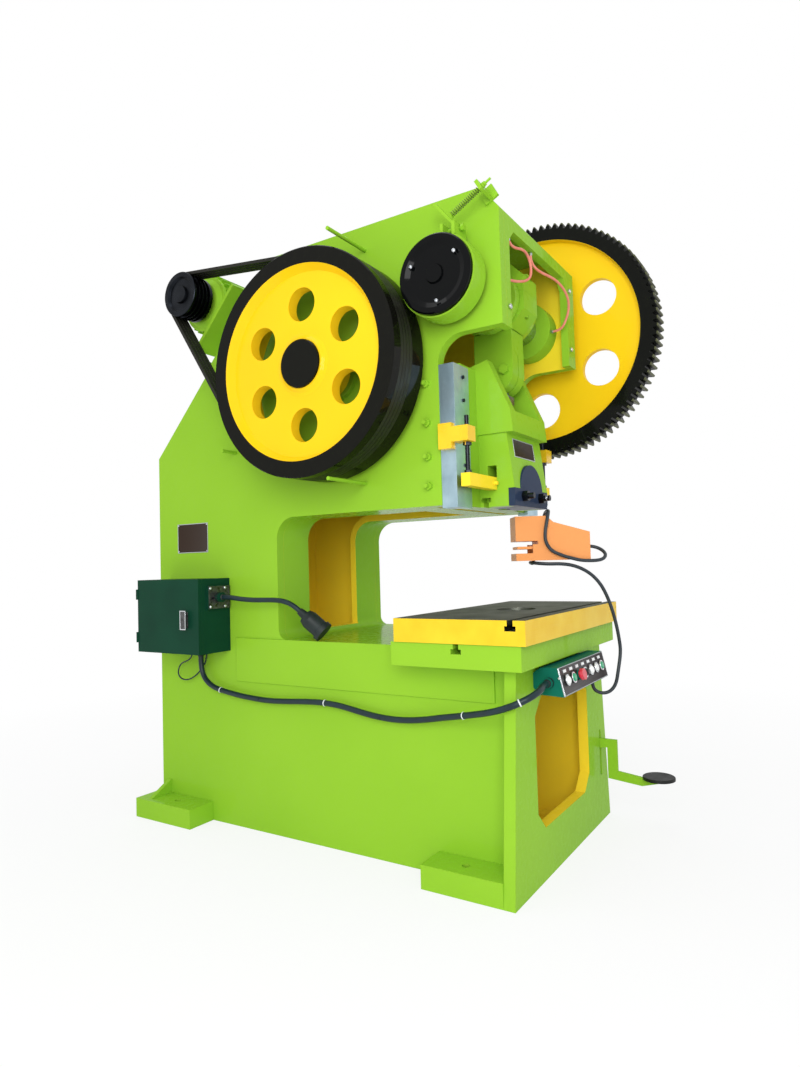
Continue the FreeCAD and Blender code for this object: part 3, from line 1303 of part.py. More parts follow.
def slide():
    """Slide: lower block, proud upper part with two sloped cheeks, wings and its pockets."""
    body = new_body("slide")
    lower = [(slide_front_y, slide_low_z), (slide_front_y, clamp_bar_z),
             (slide_front_y + slide_lean, slide_lip_z), (slide_rear_y, slide_lip_z),
             (slide_rear_y, slide_low_z)]
    pad(body, "lower_block", "YZ", [lower], -slide_half, slide_half * 2)
    upper = [(slide_rear_y, slide_lip_z), (slide_front_y - slide_lip / 2, slide_lip_z),
             (slide_front_y + 4, slide_floor_z), (slide_top_y, slide_top_z),
             (slide_rear_y, slide_back_z)]
    half = slide_half + slide_lip
    pad(body, "upper_block", "YZ", [upper], -half, half * 2)
    wings = [rectangle(-wing_half, -slide_half + 1, wing_y, wing_rear_y),
             rectangle(slide_half - 1, wing_half, wing_y, wing_rear_y)]
    pad(body, "wings", "XY", wings, slide_low_z, slide_back_z - slide_low_z)
    trough = rectangle(-slide_cheek_half, slide_cheek_half, slide_floor_z, slide_top_z + 1)
    pocket(body, "trough", "XZ", [trough], -slide_rear_y - 1, slide_rear_y - slide_front_y + 20)
    play = ball_r + 1.2
    deep = ball_r + 13
    seat_high = ball_z + deep
    pocket(body, "ball_seat", "XY", [stadium(play, crank_y, crank_y + crank_throw)],
           ball_z - deep, deep * 2)
    pocket(body, "ball_neck", "XY", [stadium(screw_r + 1.2, crank_y, crank_y + crank_throw)],
           seat_high - 1, slide_floor_z - seat_high + 2)
    bar_slot = rectangle(bar_y - fit_gap, bar_y + bar_deep + fit_gap, bar_low_z - fit_gap,
                         bar_low_z + bar_tall + bar_travel + 1)
    pocket(body, "bar_slot", "YZ", [bar_slot], -half, half * 2)
    arch_in = clamp_half + fit_gap
    cross = rectangle(-slide_half - 1, slide_half + 1, slide_low_z - 1, clamp_bar_z + fit_gap)
    pocket(body, "clamp_bar_seat", "XZ", [cross], -slide_front_y - clamp_bar_deep - fit_gap,
           clamp_bar_deep + 2)
    arch = rectangle(-arch_in, arch_in, slide_low_z - 1, clamp_bar_z + fit_gap)
    arch_start = -slide_front_y - clamp_arch_deep - fit_gap
    pocket(body, "clamp_arch_seat", "XZ", [arch], arch_start, clamp_arch_deep + 2)
    pocket(body, "clamp_round_seat", "XZ", [], arch_start, clamp_arch_deep + 2,
           [(0, clamp_bar_z - 15, arch_in)])
    seat = rectangle(-arch_in, arch_in, slide_low_z - 1, clamp_block_z + fit_gap)
    pocket(body, "clamp_block_seat", "XZ", [seat], -crank_y, crank_y - slide_front_y + 1)
    pocket(body, "shank_hole", "XY", [], slide_low_z - 1, shank_deep + 1,
           [(0, crank_y, shank_r)])
    slot_low = slide_low_z + slot_deep
    neck = slot_neck / 2
    head = slot_head / 2
    step = slot_low - slot_head_deep
    slot = [(crank_y - neck, slide_low_z - 1), (crank_y + neck, slide_low_z - 1),
            (crank_y + neck, step), (crank_y + head, step), (crank_y + head, slot_low),
            (crank_y - head, slot_low), (crank_y - head, step), (crank_y - neck, step)]
    run = wing_half - clamp_half - 6
    pocket(body, "slot_left", "YZ", [slot], -wing_half - 1, run)
    pocket(body, "slot_right", "YZ", [slot], clamp_half + 7, run)
    studs = [(clamp_bolt_x, clamp_bolt_z, clamp_bolt_r + fit_gap),
             (-clamp_bolt_x, clamp_bolt_z, clamp_bolt_r + fit_gap)]
    pocket(body, "stud_holes", "XZ", [], -crank_y - 46, 60, studs)
    return keep("slide", body)


def die_clamp():
    """Arched clamp block that closes the shank hole from the front."""
    body = new_body("die_clamp")
    front = -slide_front_y
    bar = rectangle(-slide_half, slide_half, slide_low_z, clamp_bar_z)
    pad(body, "cross_bar", "XZ", [bar], front - clamp_bar_deep, clamp_bar_deep)
    pad(body, "arch", "XZ", [], front - clamp_arch_deep, clamp_arch_deep,
        [(0, clamp_bar_z - 15, clamp_half)])
    trim = rectangle(-slide_half, slide_half, slide_low_z - clamp_half, slide_low_z)
    pocket(body, "arch_trim", "XZ", [trim], front - clamp_arch_deep - 1, clamp_arch_deep + 2)
    seat = rectangle(-clamp_half, clamp_half, slide_low_z, clamp_block_z)
    pad(body, "clamp_block", "XZ", [seat], -crank_y + fit_gap,
        crank_y - slide_front_y - fit_gap)
    pocket(body, "half_hole", "XY", [], slide_low_z - 1, shank_deep + 1,
           [(0, crank_y, shank_r)])
    studs = [(clamp_bolt_x, clamp_bolt_z, clamp_bolt_r + fit_gap),
             (-clamp_bolt_x, clamp_bolt_z, clamp_bolt_r + fit_gap)]
    pocket(body, "bolt_holes_clamp", "XZ", [], -crank_y - 1, 200, studs)
    return keep("die_clamp", body)


def clamp_bolts():
    """Two studs with nuts that draw the die clamp home."""
    bolts = []
    for side, word in ((-1, "left"), (1, "right")):
        x = clamp_bolt_x * side
        stud = rod(f"clamp_stud_{word}", clamp_bolt_r, 195,
                   (x, slide_front_y - 42, clamp_bolt_z), TO_Y)
        nut = hexagon(f"clamp_nut_{word}", 36, 20, (x, slide_front_y - 20 - fit_gap,
                                                    clamp_bolt_z), TO_Y)
        bolts.append(fuse(f"clamp_bolt_{word}", [stud, nut]))
    return keep("clamp_bolts", group("clamp_bolts", bolts))


def gib(label, side):
    """L-shaped guide strip on the column's front, seen in plan."""
    outer = (frame_half - 2) * side
    wing = (wing_half + slide_gap) * side
    lip = gib_reach * side
    body = new_body(label)
    outline = [(outer, column_y), (outer, gib_front_y), (lip, gib_front_y),
               (lip, wing_y - slide_gap), (wing, wing_y - slide_gap), (wing, column_y)]
    pad(body, label + "_strip", "XY", [outline], gib_low_z, gib_high_z - gib_low_z)
    return keep(label, body)


def gib_screws():
    """Set screws with lock nuts through both side plates, which adjust the gibs."""
    screws = []
    for side, word in ((-1, "left"), (1, "right")):
        for i, z in enumerate(set_screw_heights):
            start = plate_in if side > 0 else -frame_half - 30
            stem = rod(f"set_stem_{word}_{i}", set_screw_r, plate_thick + 30,
                       (start, set_screw_y, z))
            nut_x = frame_half + fit_gap if side > 0 else -frame_half - 12 - fit_gap
            nut = hexagon(f"set_nut_{word}_{i}", 26, 12, (nut_x, set_screw_y, z))
            screws.append(fuse(f"set_screw_{word}_{i}", [stem, nut]))
    return keep("gib_screws", group("gib_screws", screws))


def knock_out_bar():
    """Bar through the slide's slot, with a stop bolt at each side of the slide."""
    bar = block("bar_flat", (-bar_half, bar_half), (bar_y, bar_y + bar_deep),
                (bar_low_z, bar_low_z + bar_tall))
    bolts = [rod(f"bar_bolt_{i}", 7, 14, ((slide_half + slide_lip + 14) * side, bar_y - 14,
                                         bar_low_z + bar_tall / 2), TO_Y)
             for i, side in enumerate((-1, 1))]
    return keep("knock_out_bar", fuse("knock_out_bar", [bar] + bolts))


def knock_out_stops():
    """Two brackets on the gibs, each with a vertical stop screw over the bar's end."""
    parts = []
    middle_y = bar_y + bar_deep / 2
    outer = frame_half + 26
    face = frame_half - 2
    for side, word in ((-1, "left"), (1, "right")):
        near_x = face if side > 0 else -outer
        far_x = outer if side > 0 else -face
        base = block(f"stop_base_{word}", (near_x, far_x), (gib_front_y + 3, column_y - 6),
                     (1470, 1560))
        inner = bar_half - 38
        low_x = inner if side > 0 else -outer
        high_x = outer if side > 0 else -inner
        arm = block(f"stop_arm_{word}", (low_x, high_x), (middle_y - 24, gib_front_y - fit_gap),
                    (1492, 1545))
        link = block(f"stop_link_{word}", (near_x, far_x),
                     (gib_front_y - 10, gib_front_y + 10), (1492, 1545))
        hole = rod(f"stop_hole_{word}", 8, 60, ((bar_half - 20) * side, middle_y, 1490), TO_Z)
        parts.append(cut(f"stop_bracket_{word}", fuse(f"stop_block_{word}",
                                                      [base, arm, link]), [hole]))
        low = bar_low_z + bar_tall + fit_gap
        screw = rod(f"stop_screw_{word}", 7.7, 1585 - low,
                    ((bar_half - 20) * side, middle_y, low), TO_Z)
        nut = hexagon(f"stop_nut_{word}", 26, 12,
                      ((bar_half - 20) * side, middle_y, 1480 - fit_gap), TO_Z)
        head = hexagon(f"stop_head_{word}", 22, 10,
                       ((bar_half - 20) * side, middle_y, low), TO_Z)
        parts.append(fuse(f"stop_screw_set_{word}", [screw, nut, head]))
    return keep("knock_out_stops", group("knock_out_stops", parts))


# ---------------------------------------------------------------- pedal

def pedal_lever():
    """Flat lever from its pivot through the front plate's slot, stepped down to the pad."""
    body = new_body("pedal_lever")
    near_y = front_y - 30
    far_y = front_y - 70
    end_y = pad_y + pad_r + 3
    outline = [(pedal_pin_y + 30, pedal_pin_z - 24), (pedal_pin_y + 30, pedal_pin_z + 34),
               (far_y, pedal_pin_z + 34), (far_y, pad_z + 12), (end_y, pad_z),
               (pad_y - 24, pad_z), (pad_y - 24, pad_z - 10), (end_y, pad_z - 34),
               (near_y, pad_z - 20), (near_y, pedal_pin_z)]
    pad(body, "lever_plate", "YZ", [outline], pedal_x - pedal_thick / 2, pedal_thick)
    pocket(body, "lever_bore", "YZ", [], pedal_x - pedal_thick / 2 - 1, pedal_thick + 2,
           [(pedal_pin_y, pedal_pin_z, pedal_pin_r + run_gap)])
    return keep("pedal_lever", body)


def pedal_pad():
    disc = rod("pad_disc", pad_r, 12, (pedal_x, pad_y, pad_z), TO_Z)
    rim = doc.addObject("Part::Fillet", "pad_rounded")
    doc.recompute()
    rim.Base = disc
    rim.Edges = [(i + 1, 4, 4) for i, e in enumerate(disc.Shape.Edges)
                 if e.Closed and near(e.BoundBox.ZMin, float(pad_z) + 12)]
    return keep("pedal_pad", rim)


# ---------------------------------------------------------------- cabinet and controls

def cabinet_box():
    """Sheet steel box on the side plate, open to the door's side."""
    outer = -frame_half - cabinet_deep
    mouth = outer + door_thick + fit_gap
    rear = cabinet_y + cabinet_long
    top = cabinet_z + cabinet_tall
    shell = block("cabinet_shell", (mouth, -frame_half), (cabinet_y, rear), (cabinet_z, top))
    hollow = block("cabinet_hollow", (mouth - 5, -frame_half - sheet_thick),
                   (cabinet_y + sheet_thick, rear - sheet_thick),
                   (cabinet_z + sheet_thick, top - sheet_thick))
    socket_x = -frame_half - 74
    socket = block("socket_plate", (socket_x - 55, socket_x + 55), (cabinet_y - 10, cabinet_y),
                   (911, 1009))
    gland = rod("socket_gland", 20, 26, (socket_x, cabinet_y - 36, 960), TO_Y)
    duct = rod("conduit_gland", 19, 22, (-frame_half - 30, cabinet_y + 150, cabinet_z - 22),
               TO_Z)
    return keep("cabinet_box", fuse("cabinet_box", [cut("cabinet_open", shell, [hollow]),
                                                     socket, gland, duct]))


def cabinet_door():
    """Pan-shaped door with two hinge barrels at its rear edge."""
    outer = -frame_half - cabinet_deep
    rear = cabinet_y + cabinet_long
    top = cabinet_z + cabinet_tall
    shell = block("door_shell", (outer, outer + door_thick), (cabinet_y, rear),
                  (cabinet_z, top))
    hollow = block("door_hollow", (outer + sheet_thick, outer + door_thick + 5),
                   (cabinet_y + 8, rear - 8), (cabinet_z + 8, top - 8))
    barrels = [rod(f"door_barrel_{i}", 6, 44, (outer, rear + 3, z), TO_Z)
               for i, z in enumerate((cabinet_z + 40, top - 84))]
    pan = cut("door_pan", shell, [hollow])
    hole = rod("door_lock_hole", 8, 30, (outer - 5, cabinet_y + 73, 886))
    return keep("cabinet_door", cut("cabinet_door", fuse("door_set", [pan] + barrels), [hole]))


def door_handle():
    """Slim swing handle of the door's lock."""
    outer = -frame_half - cabinet_deep
    grip = block("handle_grip", (outer - 14, outer - fit_gap), (cabinet_y + 62, cabinet_y + 84),
                 (839, 904))
    spindle = rod("handle_spindle", 7.7, 20, (outer - 10, cabinet_y + 73, 886))
    return keep("door_handle", fuse("door_handle", [grip, spindle]))


panel_lean = (box_reach - 84)
panel_rise = box_top_z - box_low_z
panel_long = math.hypot(float(panel_lean), float(panel_rise))
panel_out = (-float(panel_rise) / panel_long, float(panel_lean) / panel_long)
PANEL = FreeCAD.Rotation(Vec(0, 0, 1), Vec(0, panel_out[0], panel_out[1]))
button_names = ["lamp_left", "button_start", "button_stop", "button_mode",
                "lamp_right", "button_white", "button_jog"]


def panel_point(out):
    """A point on the sloped panel's middle line, moved out along its normal."""
    y = front_y - (box_reach + 84) / 2 + panel_out[0] * out
    z = (box_top_z + box_low_z) / 2 + panel_out[1] * out
    return y, z


def button_place(i):
    return (box_left + box_right) / 2 + button_pitch * (i - (len(button_names) - 1) / 2)


def control_box():
    """Box under the slab with a sloped panel, a ring and a recess for each button."""
    body = new_body("control_shell")
    outline = [(front_y, box_low_z + 25), (front_y, box_top_z - 20), (front_y - 28, box_top_z),
               (front_y - 84, box_top_z), (front_y - box_reach, box_low_z),
               (front_y - 25, box_low_z + 3)]
    pad(body, "control_prism", "YZ", [outline], box_left, box_right - box_left)
    rings = []
    recesses = []
    for i, name in enumerate(button_names):
        x = button_place(i)
        y, z = panel_point(-1)
        rings.append(rod(f"ring_{name}", button_r + 4, 6, (x, y, z), PANEL))
        y, z = panel_point(-8)
        if name.startswith("lamp"):
            rings.append(rod(f"lens_{name}", button_r, 17, (x, y, z), PANEL))
        else:
            recesses.append(rod(f"recess_{name}", button_r + fit_gap, 16, (x, y, z), PANEL))
    glands = [rod("gland_left", 17, 18, (box_left - 18, front_y - 56, 672)),
              rod("gland_low", 10, 12, (box_right - 26, front_y - 52, box_low_z - 8), TO_Z)]
    joined = fuse("control_joined", [body] + rings + glands)
    return keep("control_box", cut("control_box", joined, recesses))


def push_button(i):
    """One control button; the stop button has a mushroom head."""
    name = button_names[i]
    x = button_place(i)
    y, z = panel_point(-3)
    stem = rod(f"stem_{name}", button_r, 14, (x, y, z), PANEL)
    if name == "button_stop":
        y, z = panel_point(11)
        head = rod(f"head_{name}", 20, 12, (x, y, z), PANEL)
        return keep(name, fuse(name, [stem, head]))
    if name == "button_mode":
        y, z = panel_point(10)
        knob = rod(f"knob_{name}", button_r - 3, 10, (x, y, z), PANEL)
        return keep(name, fuse(name, [stem, knob]))
    return keep(name, fuse(name, [stem, rod(f"face_{name}", button_r - 1.5, 2,
                                            (x, *panel_point(10)), PANEL)]))


# ---------------------------------------------------------------- foot switch

SWITCH_TURN = FreeCAD.Rotation(Vec(0, 0, 1), -57.5)
switch_x = size("switch_x", 74.5, "middle of the hanging foot switch")
switch_y = size("switch_y", -835.8, "middle of the hanging foot switch")
switch_z = size("switch_z", 1075, "underside of the hanging foot switch")
switch_half = size("switch_half", 62, "half width of the foot switch")
switch_reach = size("switch_reach", 140, "half length of the foot switch")


def switch_point(x, y, z):
    """A point in the foot switch's own frame, turned into the press's frame."""
    turned = SWITCH_TURN.multVec(Vec(x, y, 0))
    return Vec(float(switch_x) + turned.x, float(switch_y) + turned.y, float(switch_z) + z)


def foot_switch_body():
    """Foot switch: base, raised hood over the treadle's mouth, sloped rear body."""
    body = new_body("foot_switch_body")
    outline = [(-switch_reach, 0), (switch_reach, 0), (switch_reach, 104), (4, 144),
               (-22, 168), (-switch_reach, 168), (-switch_reach, 74), (-56, 74), (-56, 28),
               (-switch_reach, 28)]
    pad(body, "switch_shell", "XZ", [outline], -switch_half, switch_half * 2)
    gland = rod("switch_gland", 9, 8, (switch_reach, 0, 50))
    pin = rod("treadle_pin", 4, switch_half * 2, (-68, -switch_half, 50), TO_Y)
    joined = fuse("switch_joined", [body, gland])
    ears = [block(f"treadle_ear_{i}", (-76, -55), (low, low + 5), (28, 62))
            for i, low in enumerate((-switch_half, switch_half - 5))]
    whole = fuse("foot_switch_set", [joined, pin] + ears)
    put(whole, switch_x, switch_y, switch_z, SWITCH_TURN)
    return keep("foot_switch_body", whole)


def foot_switch_treadle():
    """Treadle plate that pivots on the pin inside the hood's mouth."""
    half = switch_half - 7
    plate = block("treadle_plate", (-134, -60), (-half, half), (44, 54))
    hub = rod("treadle_hub", 9, half * 2, (-68, -half, 50), TO_Y)
    bore = rod("treadle_bore", 4 + run_gap, half * 2 + 4, (-68, -half - 2, 50), TO_Y)
    whole = cut("foot_switch_treadle", fuse("treadle_joined", [plate, hub]), [bore])
    put(whole, switch_x, switch_y, switch_z, SWITCH_TURN)
    return keep("foot_switch_treadle", whole)


# ---------------------------------------------------------------- cords and hoses

def cord_path(points):
    """Straight runs joined by tangent arcs, each as large as its two runs allow."""
    edges = []
    radii = []
    last = points[0]
    for before, corner, after in zip(points, points[1:], points[2:]):
        in_dir = (corner - before).normalize()
        out_dir = (after - corner).normalize()
        turn = in_dir.getAngle(out_dir)
        setback = 0.45 * min((corner - before).Length, (after - corner).Length)
        radii.append(setback / math.tan(turn / 2))
        start = corner - in_dir * setback
        stop = corner + out_dir * setback
        bisector = (out_dir - in_dir).normalize()
        height = radii[-1] * (1 / math.cos(turn / 2) - 1)
        middle = corner + bisector * height
        edges.append(Part.LineSegment(last, start).toShape())
        edges.append(Part.Arc(start, middle, stop).toShape())
        last = stop
    edges.append(Part.LineSegment(last, points[-1]).toShape())
    return Part.Wire(edges), radii


def cord_shape(label, radius, points):
    """A round cord along its route, with its volume and least bend printed."""
    path, radii = cord_path(points)
    start_dir = (points[1] - points[0]).normalize()
    ring = Part.Wire([Part.Circle(points[0], start_dir, radius).toShape()])
    shape = path.makePipeShell([ring], True, False)
    ideal = math.pi * radius ** 2 * path.Length
    print(label, "length", round(path.Length), "least radius", round(min(radii), 1),
          "volume share", round(shape.Volume / ideal, 4))
    return shape


def cord(label, radius, points):
    return keep(label, solid_feature(label, cord_shape(label, radius, points)))


def on_side(clear, y, z):
    """A point beside the flywheel's side plate, clear of it by the given amount."""
    return Vec(-float(frame_half) - clear, y, z)


def conduit():
    """Conduit from the cabinet's underside to the control box, and a thin wire's loop."""
    gap = float(fit_gap)
    start = Vec(-float(frame_half) - 30, float(cabinet_y) + 150, float(cabinet_z) - 22 - gap)
    end_x = float(box_left) - 18 - gap
    end_y = float(front_y) - 56
    points = [start, start + Vec(0, 0, -52), on_side(31, 562, 610), on_side(30, 520, 580),
              on_side(30, 468, 566), on_side(29, 412, 558), on_side(29, 350, 550),
              on_side(28, 288, 545), on_side(28, 200, 541), on_side(27, 108, 545),
              on_side(26, 14, 552), on_side(25, -82, 556), on_side(25, -170, 550),
              on_side(26, -262, 534), on_side(28, -352, 523), on_side(30, -442, 522),
              on_side(36, -532, 533), on_side(46, -618, 551), on_side(58, -686, 564),
              on_side(72, -746, 577), on_side(88, -802, 590), Vec(-470, -856, 606),
              Vec(-470, -908, 626), Vec(-446, -950, 648), Vec(-398, -966, 664),
              Vec(-352, end_y, 672), Vec(end_x, end_y, 672)]
    main = cord_shape("conduit", 11, points)
    high = float(cabinet_z) - gap
    loop = cord_shape("wire_loop", 3, [
        on_side(42, 622, high), on_side(42, 622, 704), on_side(41, 650, 682),
        on_side(38, 696, 670), on_side(34, 722, 644), on_side(31, 728, 614),
        on_side(28, 708, 596), on_side(25, 672, 594), on_side(21, 634, 610),
        on_side(16, 602, 638), on_side(12, 578, 668), on_side(12, 566, 700),
        on_side(12, 564, high)])
    return keep("conduit", solid_feature("conduit", Part.makeCompound([main, loop])))


plug_along = Vec(0.2428, -0.7146, -0.6561).normalize()
plug_long = 132
plug_rim_r = 42
plug_lean = math.sqrt(1 - plug_along.z ** 2)
plug_tail = Vec(-float(frame_half) - 20, float(cabinet_y) - 404, float(bed_z) + float(fit_gap)
                - plug_long * plug_along.z + plug_rim_r * plug_lean)


def plug_cord():
    """Cord from the cabinet's socket to the plug that leans in the throat's corner."""
    x = -float(frame_half) - 74
    start_y = float(cabinet_y) - 36 - float(fit_gap)
    points = [Vec(x, start_y, 960), Vec(x, start_y - 34, 960), Vec(x + 2, start_y - 76, 955),
              Vec(x + 6, start_y - 124, 950), Vec(x + 10, start_y - 172, 948),
              Vec(x + 16, start_y - 220, 948), Vec(x + 24, start_y - 264, 948),
              Vec(x + 34, start_y - 303, 943), plug_tail - plug_along * 36,
              plug_tail - plug_along * float(fit_gap)]
    return cord("plug_cord", 10, points)


def cord_plug():
    """Round rubber plug on the cord's end, its rim down on the bed's edge."""
    profile = [(0, 0), (0, 14), (30, 18), (32, 29), (54, 36), (112, 36), (114, plug_rim_r),
               (plug_long, plug_rim_r), (plug_long, 0)]
    across = plug_along.cross(Vec(0, 0, 1)).normalize()
    ring = [plug_tail + plug_along * s + across * r for s, r in profile]
    face = Part.Face(Part.makePolygon(ring + [ring[0]]))
    return keep("cord_plug", solid_feature("cord_plug",
                                           face.revolve(plug_tail, plug_along, 360)))


def foot_switch_cord():
    """Cord from the control box, wound once round the hanging foot switch."""
    x = float(box_right) - 26
    y = float(front_y) - 52
    z = float(box_low_z) - 8 - float(fit_gap)
    reach = float(switch_reach) + 8
    from_box = [(0, 0, 0), (0, 0, -39), (6, -28, -57), (18, -60, -53), (26, -84, -23),
                (28, -94, 31)]
    round_switch = [
        (258, 2, -355), (250, -6, -300), (238, -16, -245), (222, -28, -192), (202, -40, -142),
        (178, -52, -98), (146, -62, -62), (108, -68, -36), (66, -71, -20), (24, -72, -14),
        (-18, -70, -14), (-54, -58, -9), (-74, -26, -5.2), (-74, 14, -5.2), (-64, 36, -7),
        (-56, 68, -12), (-46, 90, 4), (-32, 93, 40), (-18, 86, 84), (-10, 80, 130),
        (-6, 72, 164),
        (-4, 42, 188), (-4, 0, 190), (-8, -40, 188), (-16, -68, 174), (-24, -76, 142),
        (-32, -79, 108),
        (-32, -78, 70), (-12, -78, 36), (26, -78, 18), (66, -78, 5), (106, -76, -5),
        (reach + 20, -72, -6), (reach + 45, -62, 4), (reach + 56, -36, 20),
        (reach + 45, -10, 38), (reach + 20, 0, 49), (reach + float(fit_gap), 0, 50)]
    points = [Vec(x + dx, y + dy, z + dz) for dx, dy, dz in from_box]
    points += [switch_point(*p) for p in round_switch]
    return cord("foot_switch_cord", 4.5, points)


def tie_wire():
    """Thin tie from the clamp bolt down to the foot switch's hood."""
    top = Vec(float(clamp_bolt_x), float(slide_front_y) - 32,
              float(clamp_bolt_z) - float(clamp_bolt_r) - 0.3)
    foot = switch_point(-4, 0, 196.4)
    points = [top, top + Vec(-1.5, 0, -12), foot + Vec(1.5, 0, 12), foot]
    return cord("tie_wire", 1.5, points)


def oil_hoses():
    """Two oil hoses inside the head, to the rod's bearing and to the right bearing boss."""
    top = float(head_corner_z) - float(flange_band)
    gap = float(fit_gap)
    y = float(head_front_y) + float(flange_thick) / 2
    edge_x = float(flange_leg) - float(plate_in)
    axis_z = float(crank_z)
    fitting = 0.175

    def on_boss(x, out, side):
        """A point off a crank boss's front, above the axis for side 1 and below for -1."""
        r = float(boss_r) + out
        return Vec(x, float(crank_y) - r * math.cos(fitting), axis_z + side * r * math.sin(fitting))

    corner = Vec(edge_x + 19, y, top - 21)
    inward = Vec(1, 0, -1).normalize()
    short = cord_shape("oil_hose_short", 5, [
        corner + inward * gap, corner + inward * 26, Vec(-214, y - 5, top - 42),
        Vec(-172, y - 9, top - 30), Vec(-130, y - 11, top - 28), Vec(-96, y - 11, top - 46),
        Vec(-84, y - 11, top - 80), Vec(-98, y - 11, top - 112), Vec(-136, y - 9, top - 136),
        Vec(-182, y - 5, top - 152), Vec(-222, y + 1, top - 162), on_boss(-256, 30, 1),
        on_boss(-262, 1.8, 1)])
    long = cord_shape("oil_hose_long", 5, [
        Vec(-60, y, top - gap), Vec(-60, y, top - 34), Vec(-36, y - 9, top - 57),
        Vec(8, y - 19, top - 62), Vec(58, y - 31, top - 62), Vec(110, y - 41, top - 66),
        Vec(160, y - 47, top - 80), Vec(202, y - 49, top - 102), Vec(226, y - 45, top - 132),
        Vec(246, y - 29, top - 166), on_boss(260, 46, -1), on_boss(262, 1.2, -1)])
    return keep("oil_hoses", solid_feature("oil_hoses", Part.makeCompound([short, long])))


# ---------------------------------------------------------------- build and write

def build():
    side_plate("side_plate_left", -1)
    side_plate("side_plate_right", 1)
    base_front_plate()
    head_front_flange()
    head_top_plate()
    rear_cover()
    throat_lining()
    slide_housing()
    inner_web()
    anchor_feet()
    table_plate("bed_slab", slab_half, slab_front_y, slab_rear_y, base_height, slab_thick,
                slab_slot_y)
    table_plate("bolster", bolster_half, bolster_front_y, bolster_rear_y, slab_top_z,
                bolster_thick, bolster_slot_y)
    shaft_bearings()
    crankshaft()
    clutch_cover()
    brake_drum()
    large_gear()
    pinion_shaft()
    flywheel()
    v_belts()
    motor_pulley()
    motor_body()
    motor_fan_cover()
    motor_base_plate()
    motor_mounts()
    brake_band()
    brake_bracket()
    brake_spring()
    guard_studs()
    connecting_rod()
    rod_cap()
    rod_bolts()
    ball_screw()
    slide()
    die_clamp()
    clamp_bolts()
    gib("gib_left", -1)
    gib("gib_right", 1)
    gib_screws()
    knock_out_bar()
    knock_out_stops()
    pedal_lever()
    pedal_pad()
    cabinet_box()
    cabinet_door()
    door_handle()
    control_box()
    for i, name in enumerate(button_names):
        if name.startswith("button"):
            push_button(i)
    foot_switch_body()
    foot_switch_treadle()
    conduit()
    plug_cord()
    cord_plug()
    foot_switch_cord()
    tie_wire()
    oil_hoses()


def write():
    """Checks every object and every sub-part, then writes one STEP file for each."""
    doc.recompute()
    faults = []
    for thing in doc.Objects:
        if "Invalid" in thing.State or "Error" in thing.State:
            faults.append(f"{thing.Name}: {thing.State}")
    for label, feature in pieces.items():
        if feature.Shape.isNull() or not feature.Shape.isValid() or not feature.Shape.Solids:
            faults.append(f"{label}: bad shape")
    if faults:
        raise RuntimeError("; ".join(faults))
    os.makedirs("parts", exist_ok=True)
    for label, feature in pieces.items():
        feature.Shape.exportStep(f"parts/{label}.step")
    print(len(pieces), "sub-parts written")


build()
write()
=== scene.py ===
import math

import bpy
from mathutils import Matrix, Vector


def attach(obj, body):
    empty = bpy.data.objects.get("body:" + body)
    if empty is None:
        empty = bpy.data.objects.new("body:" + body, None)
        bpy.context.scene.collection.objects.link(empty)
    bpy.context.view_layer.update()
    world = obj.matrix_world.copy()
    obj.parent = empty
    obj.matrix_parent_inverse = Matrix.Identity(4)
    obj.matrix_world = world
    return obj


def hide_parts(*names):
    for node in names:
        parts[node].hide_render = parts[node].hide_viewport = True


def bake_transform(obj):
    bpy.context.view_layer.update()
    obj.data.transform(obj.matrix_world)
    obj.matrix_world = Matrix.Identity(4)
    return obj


# Open-throat stamping press: paints, planed and turned metal, rubber and plastic for the CAD
# nodes, smooth cords in place of the CAD tubes, and the small fastenings.

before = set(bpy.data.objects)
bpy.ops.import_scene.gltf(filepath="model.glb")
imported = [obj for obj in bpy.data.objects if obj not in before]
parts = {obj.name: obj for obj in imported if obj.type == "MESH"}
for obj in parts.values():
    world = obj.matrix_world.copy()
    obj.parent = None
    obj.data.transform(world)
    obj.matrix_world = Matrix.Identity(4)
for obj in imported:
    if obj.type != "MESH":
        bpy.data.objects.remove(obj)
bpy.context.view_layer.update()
MM = 0.001

# Axes along X in millimetres, as Y and Z, and places that several pieces share.
CRANK_Y, CRANK_Z = -685, 2042
FLYWHEEL_Y, FLYWHEEL_Z = -163.45, 1812
SIDE_FACE_X = -370
SOCKET_FACE_Y = 422
CLAMP_BOLT = (80, -833, 1315)


# ---------------------------------------------------------------- material helpers

def paint_colour(hex_code):
    """An sRGB hex code as linear red, green, blue and alpha."""
    channels = [int(hex_code[i:i + 2], 16) / 255 for i in (1, 3, 5)]
    return [c / 12.92 if c <= 0.04045 else ((c + 0.055) / 1.055) ** 2.4 for c in channels] + [1]


def add(tree, kind, inputs=(), **settings):
    """Adds a node with its settings; an input is a value or the socket that feeds it."""
    made = tree.nodes.new(kind)
    for name, value in settings.items():
        setattr(made, name, value)
    for key, value in dict(inputs).items():
        if isinstance(value, bpy.types.NodeSocket):
            tree.links.new(value, made.inputs[key])
        else:
            made.inputs[key].default_value = value
    return made


def per_metre(size_mm):
    """A texture scale whose features are about that many millimetres apart."""
    return 1000.0 / size_mm


def new_material(name):
    """A material with one principled shader, and the place on the piece in metres."""
    material = bpy.data.materials.new(name)
    material.use_nodes = True
    tree = material.node_tree
    tree.nodes.clear()
    shader = add(tree, "ShaderNodeBsdfPrincipled")
    output = add(tree, "ShaderNodeOutputMaterial", {"Surface": shader.outputs[0]})
    output.location = (400, 0)
    place = add(tree, "ShaderNodeTexCoord").outputs["Object"]
    return material, tree, shader, place


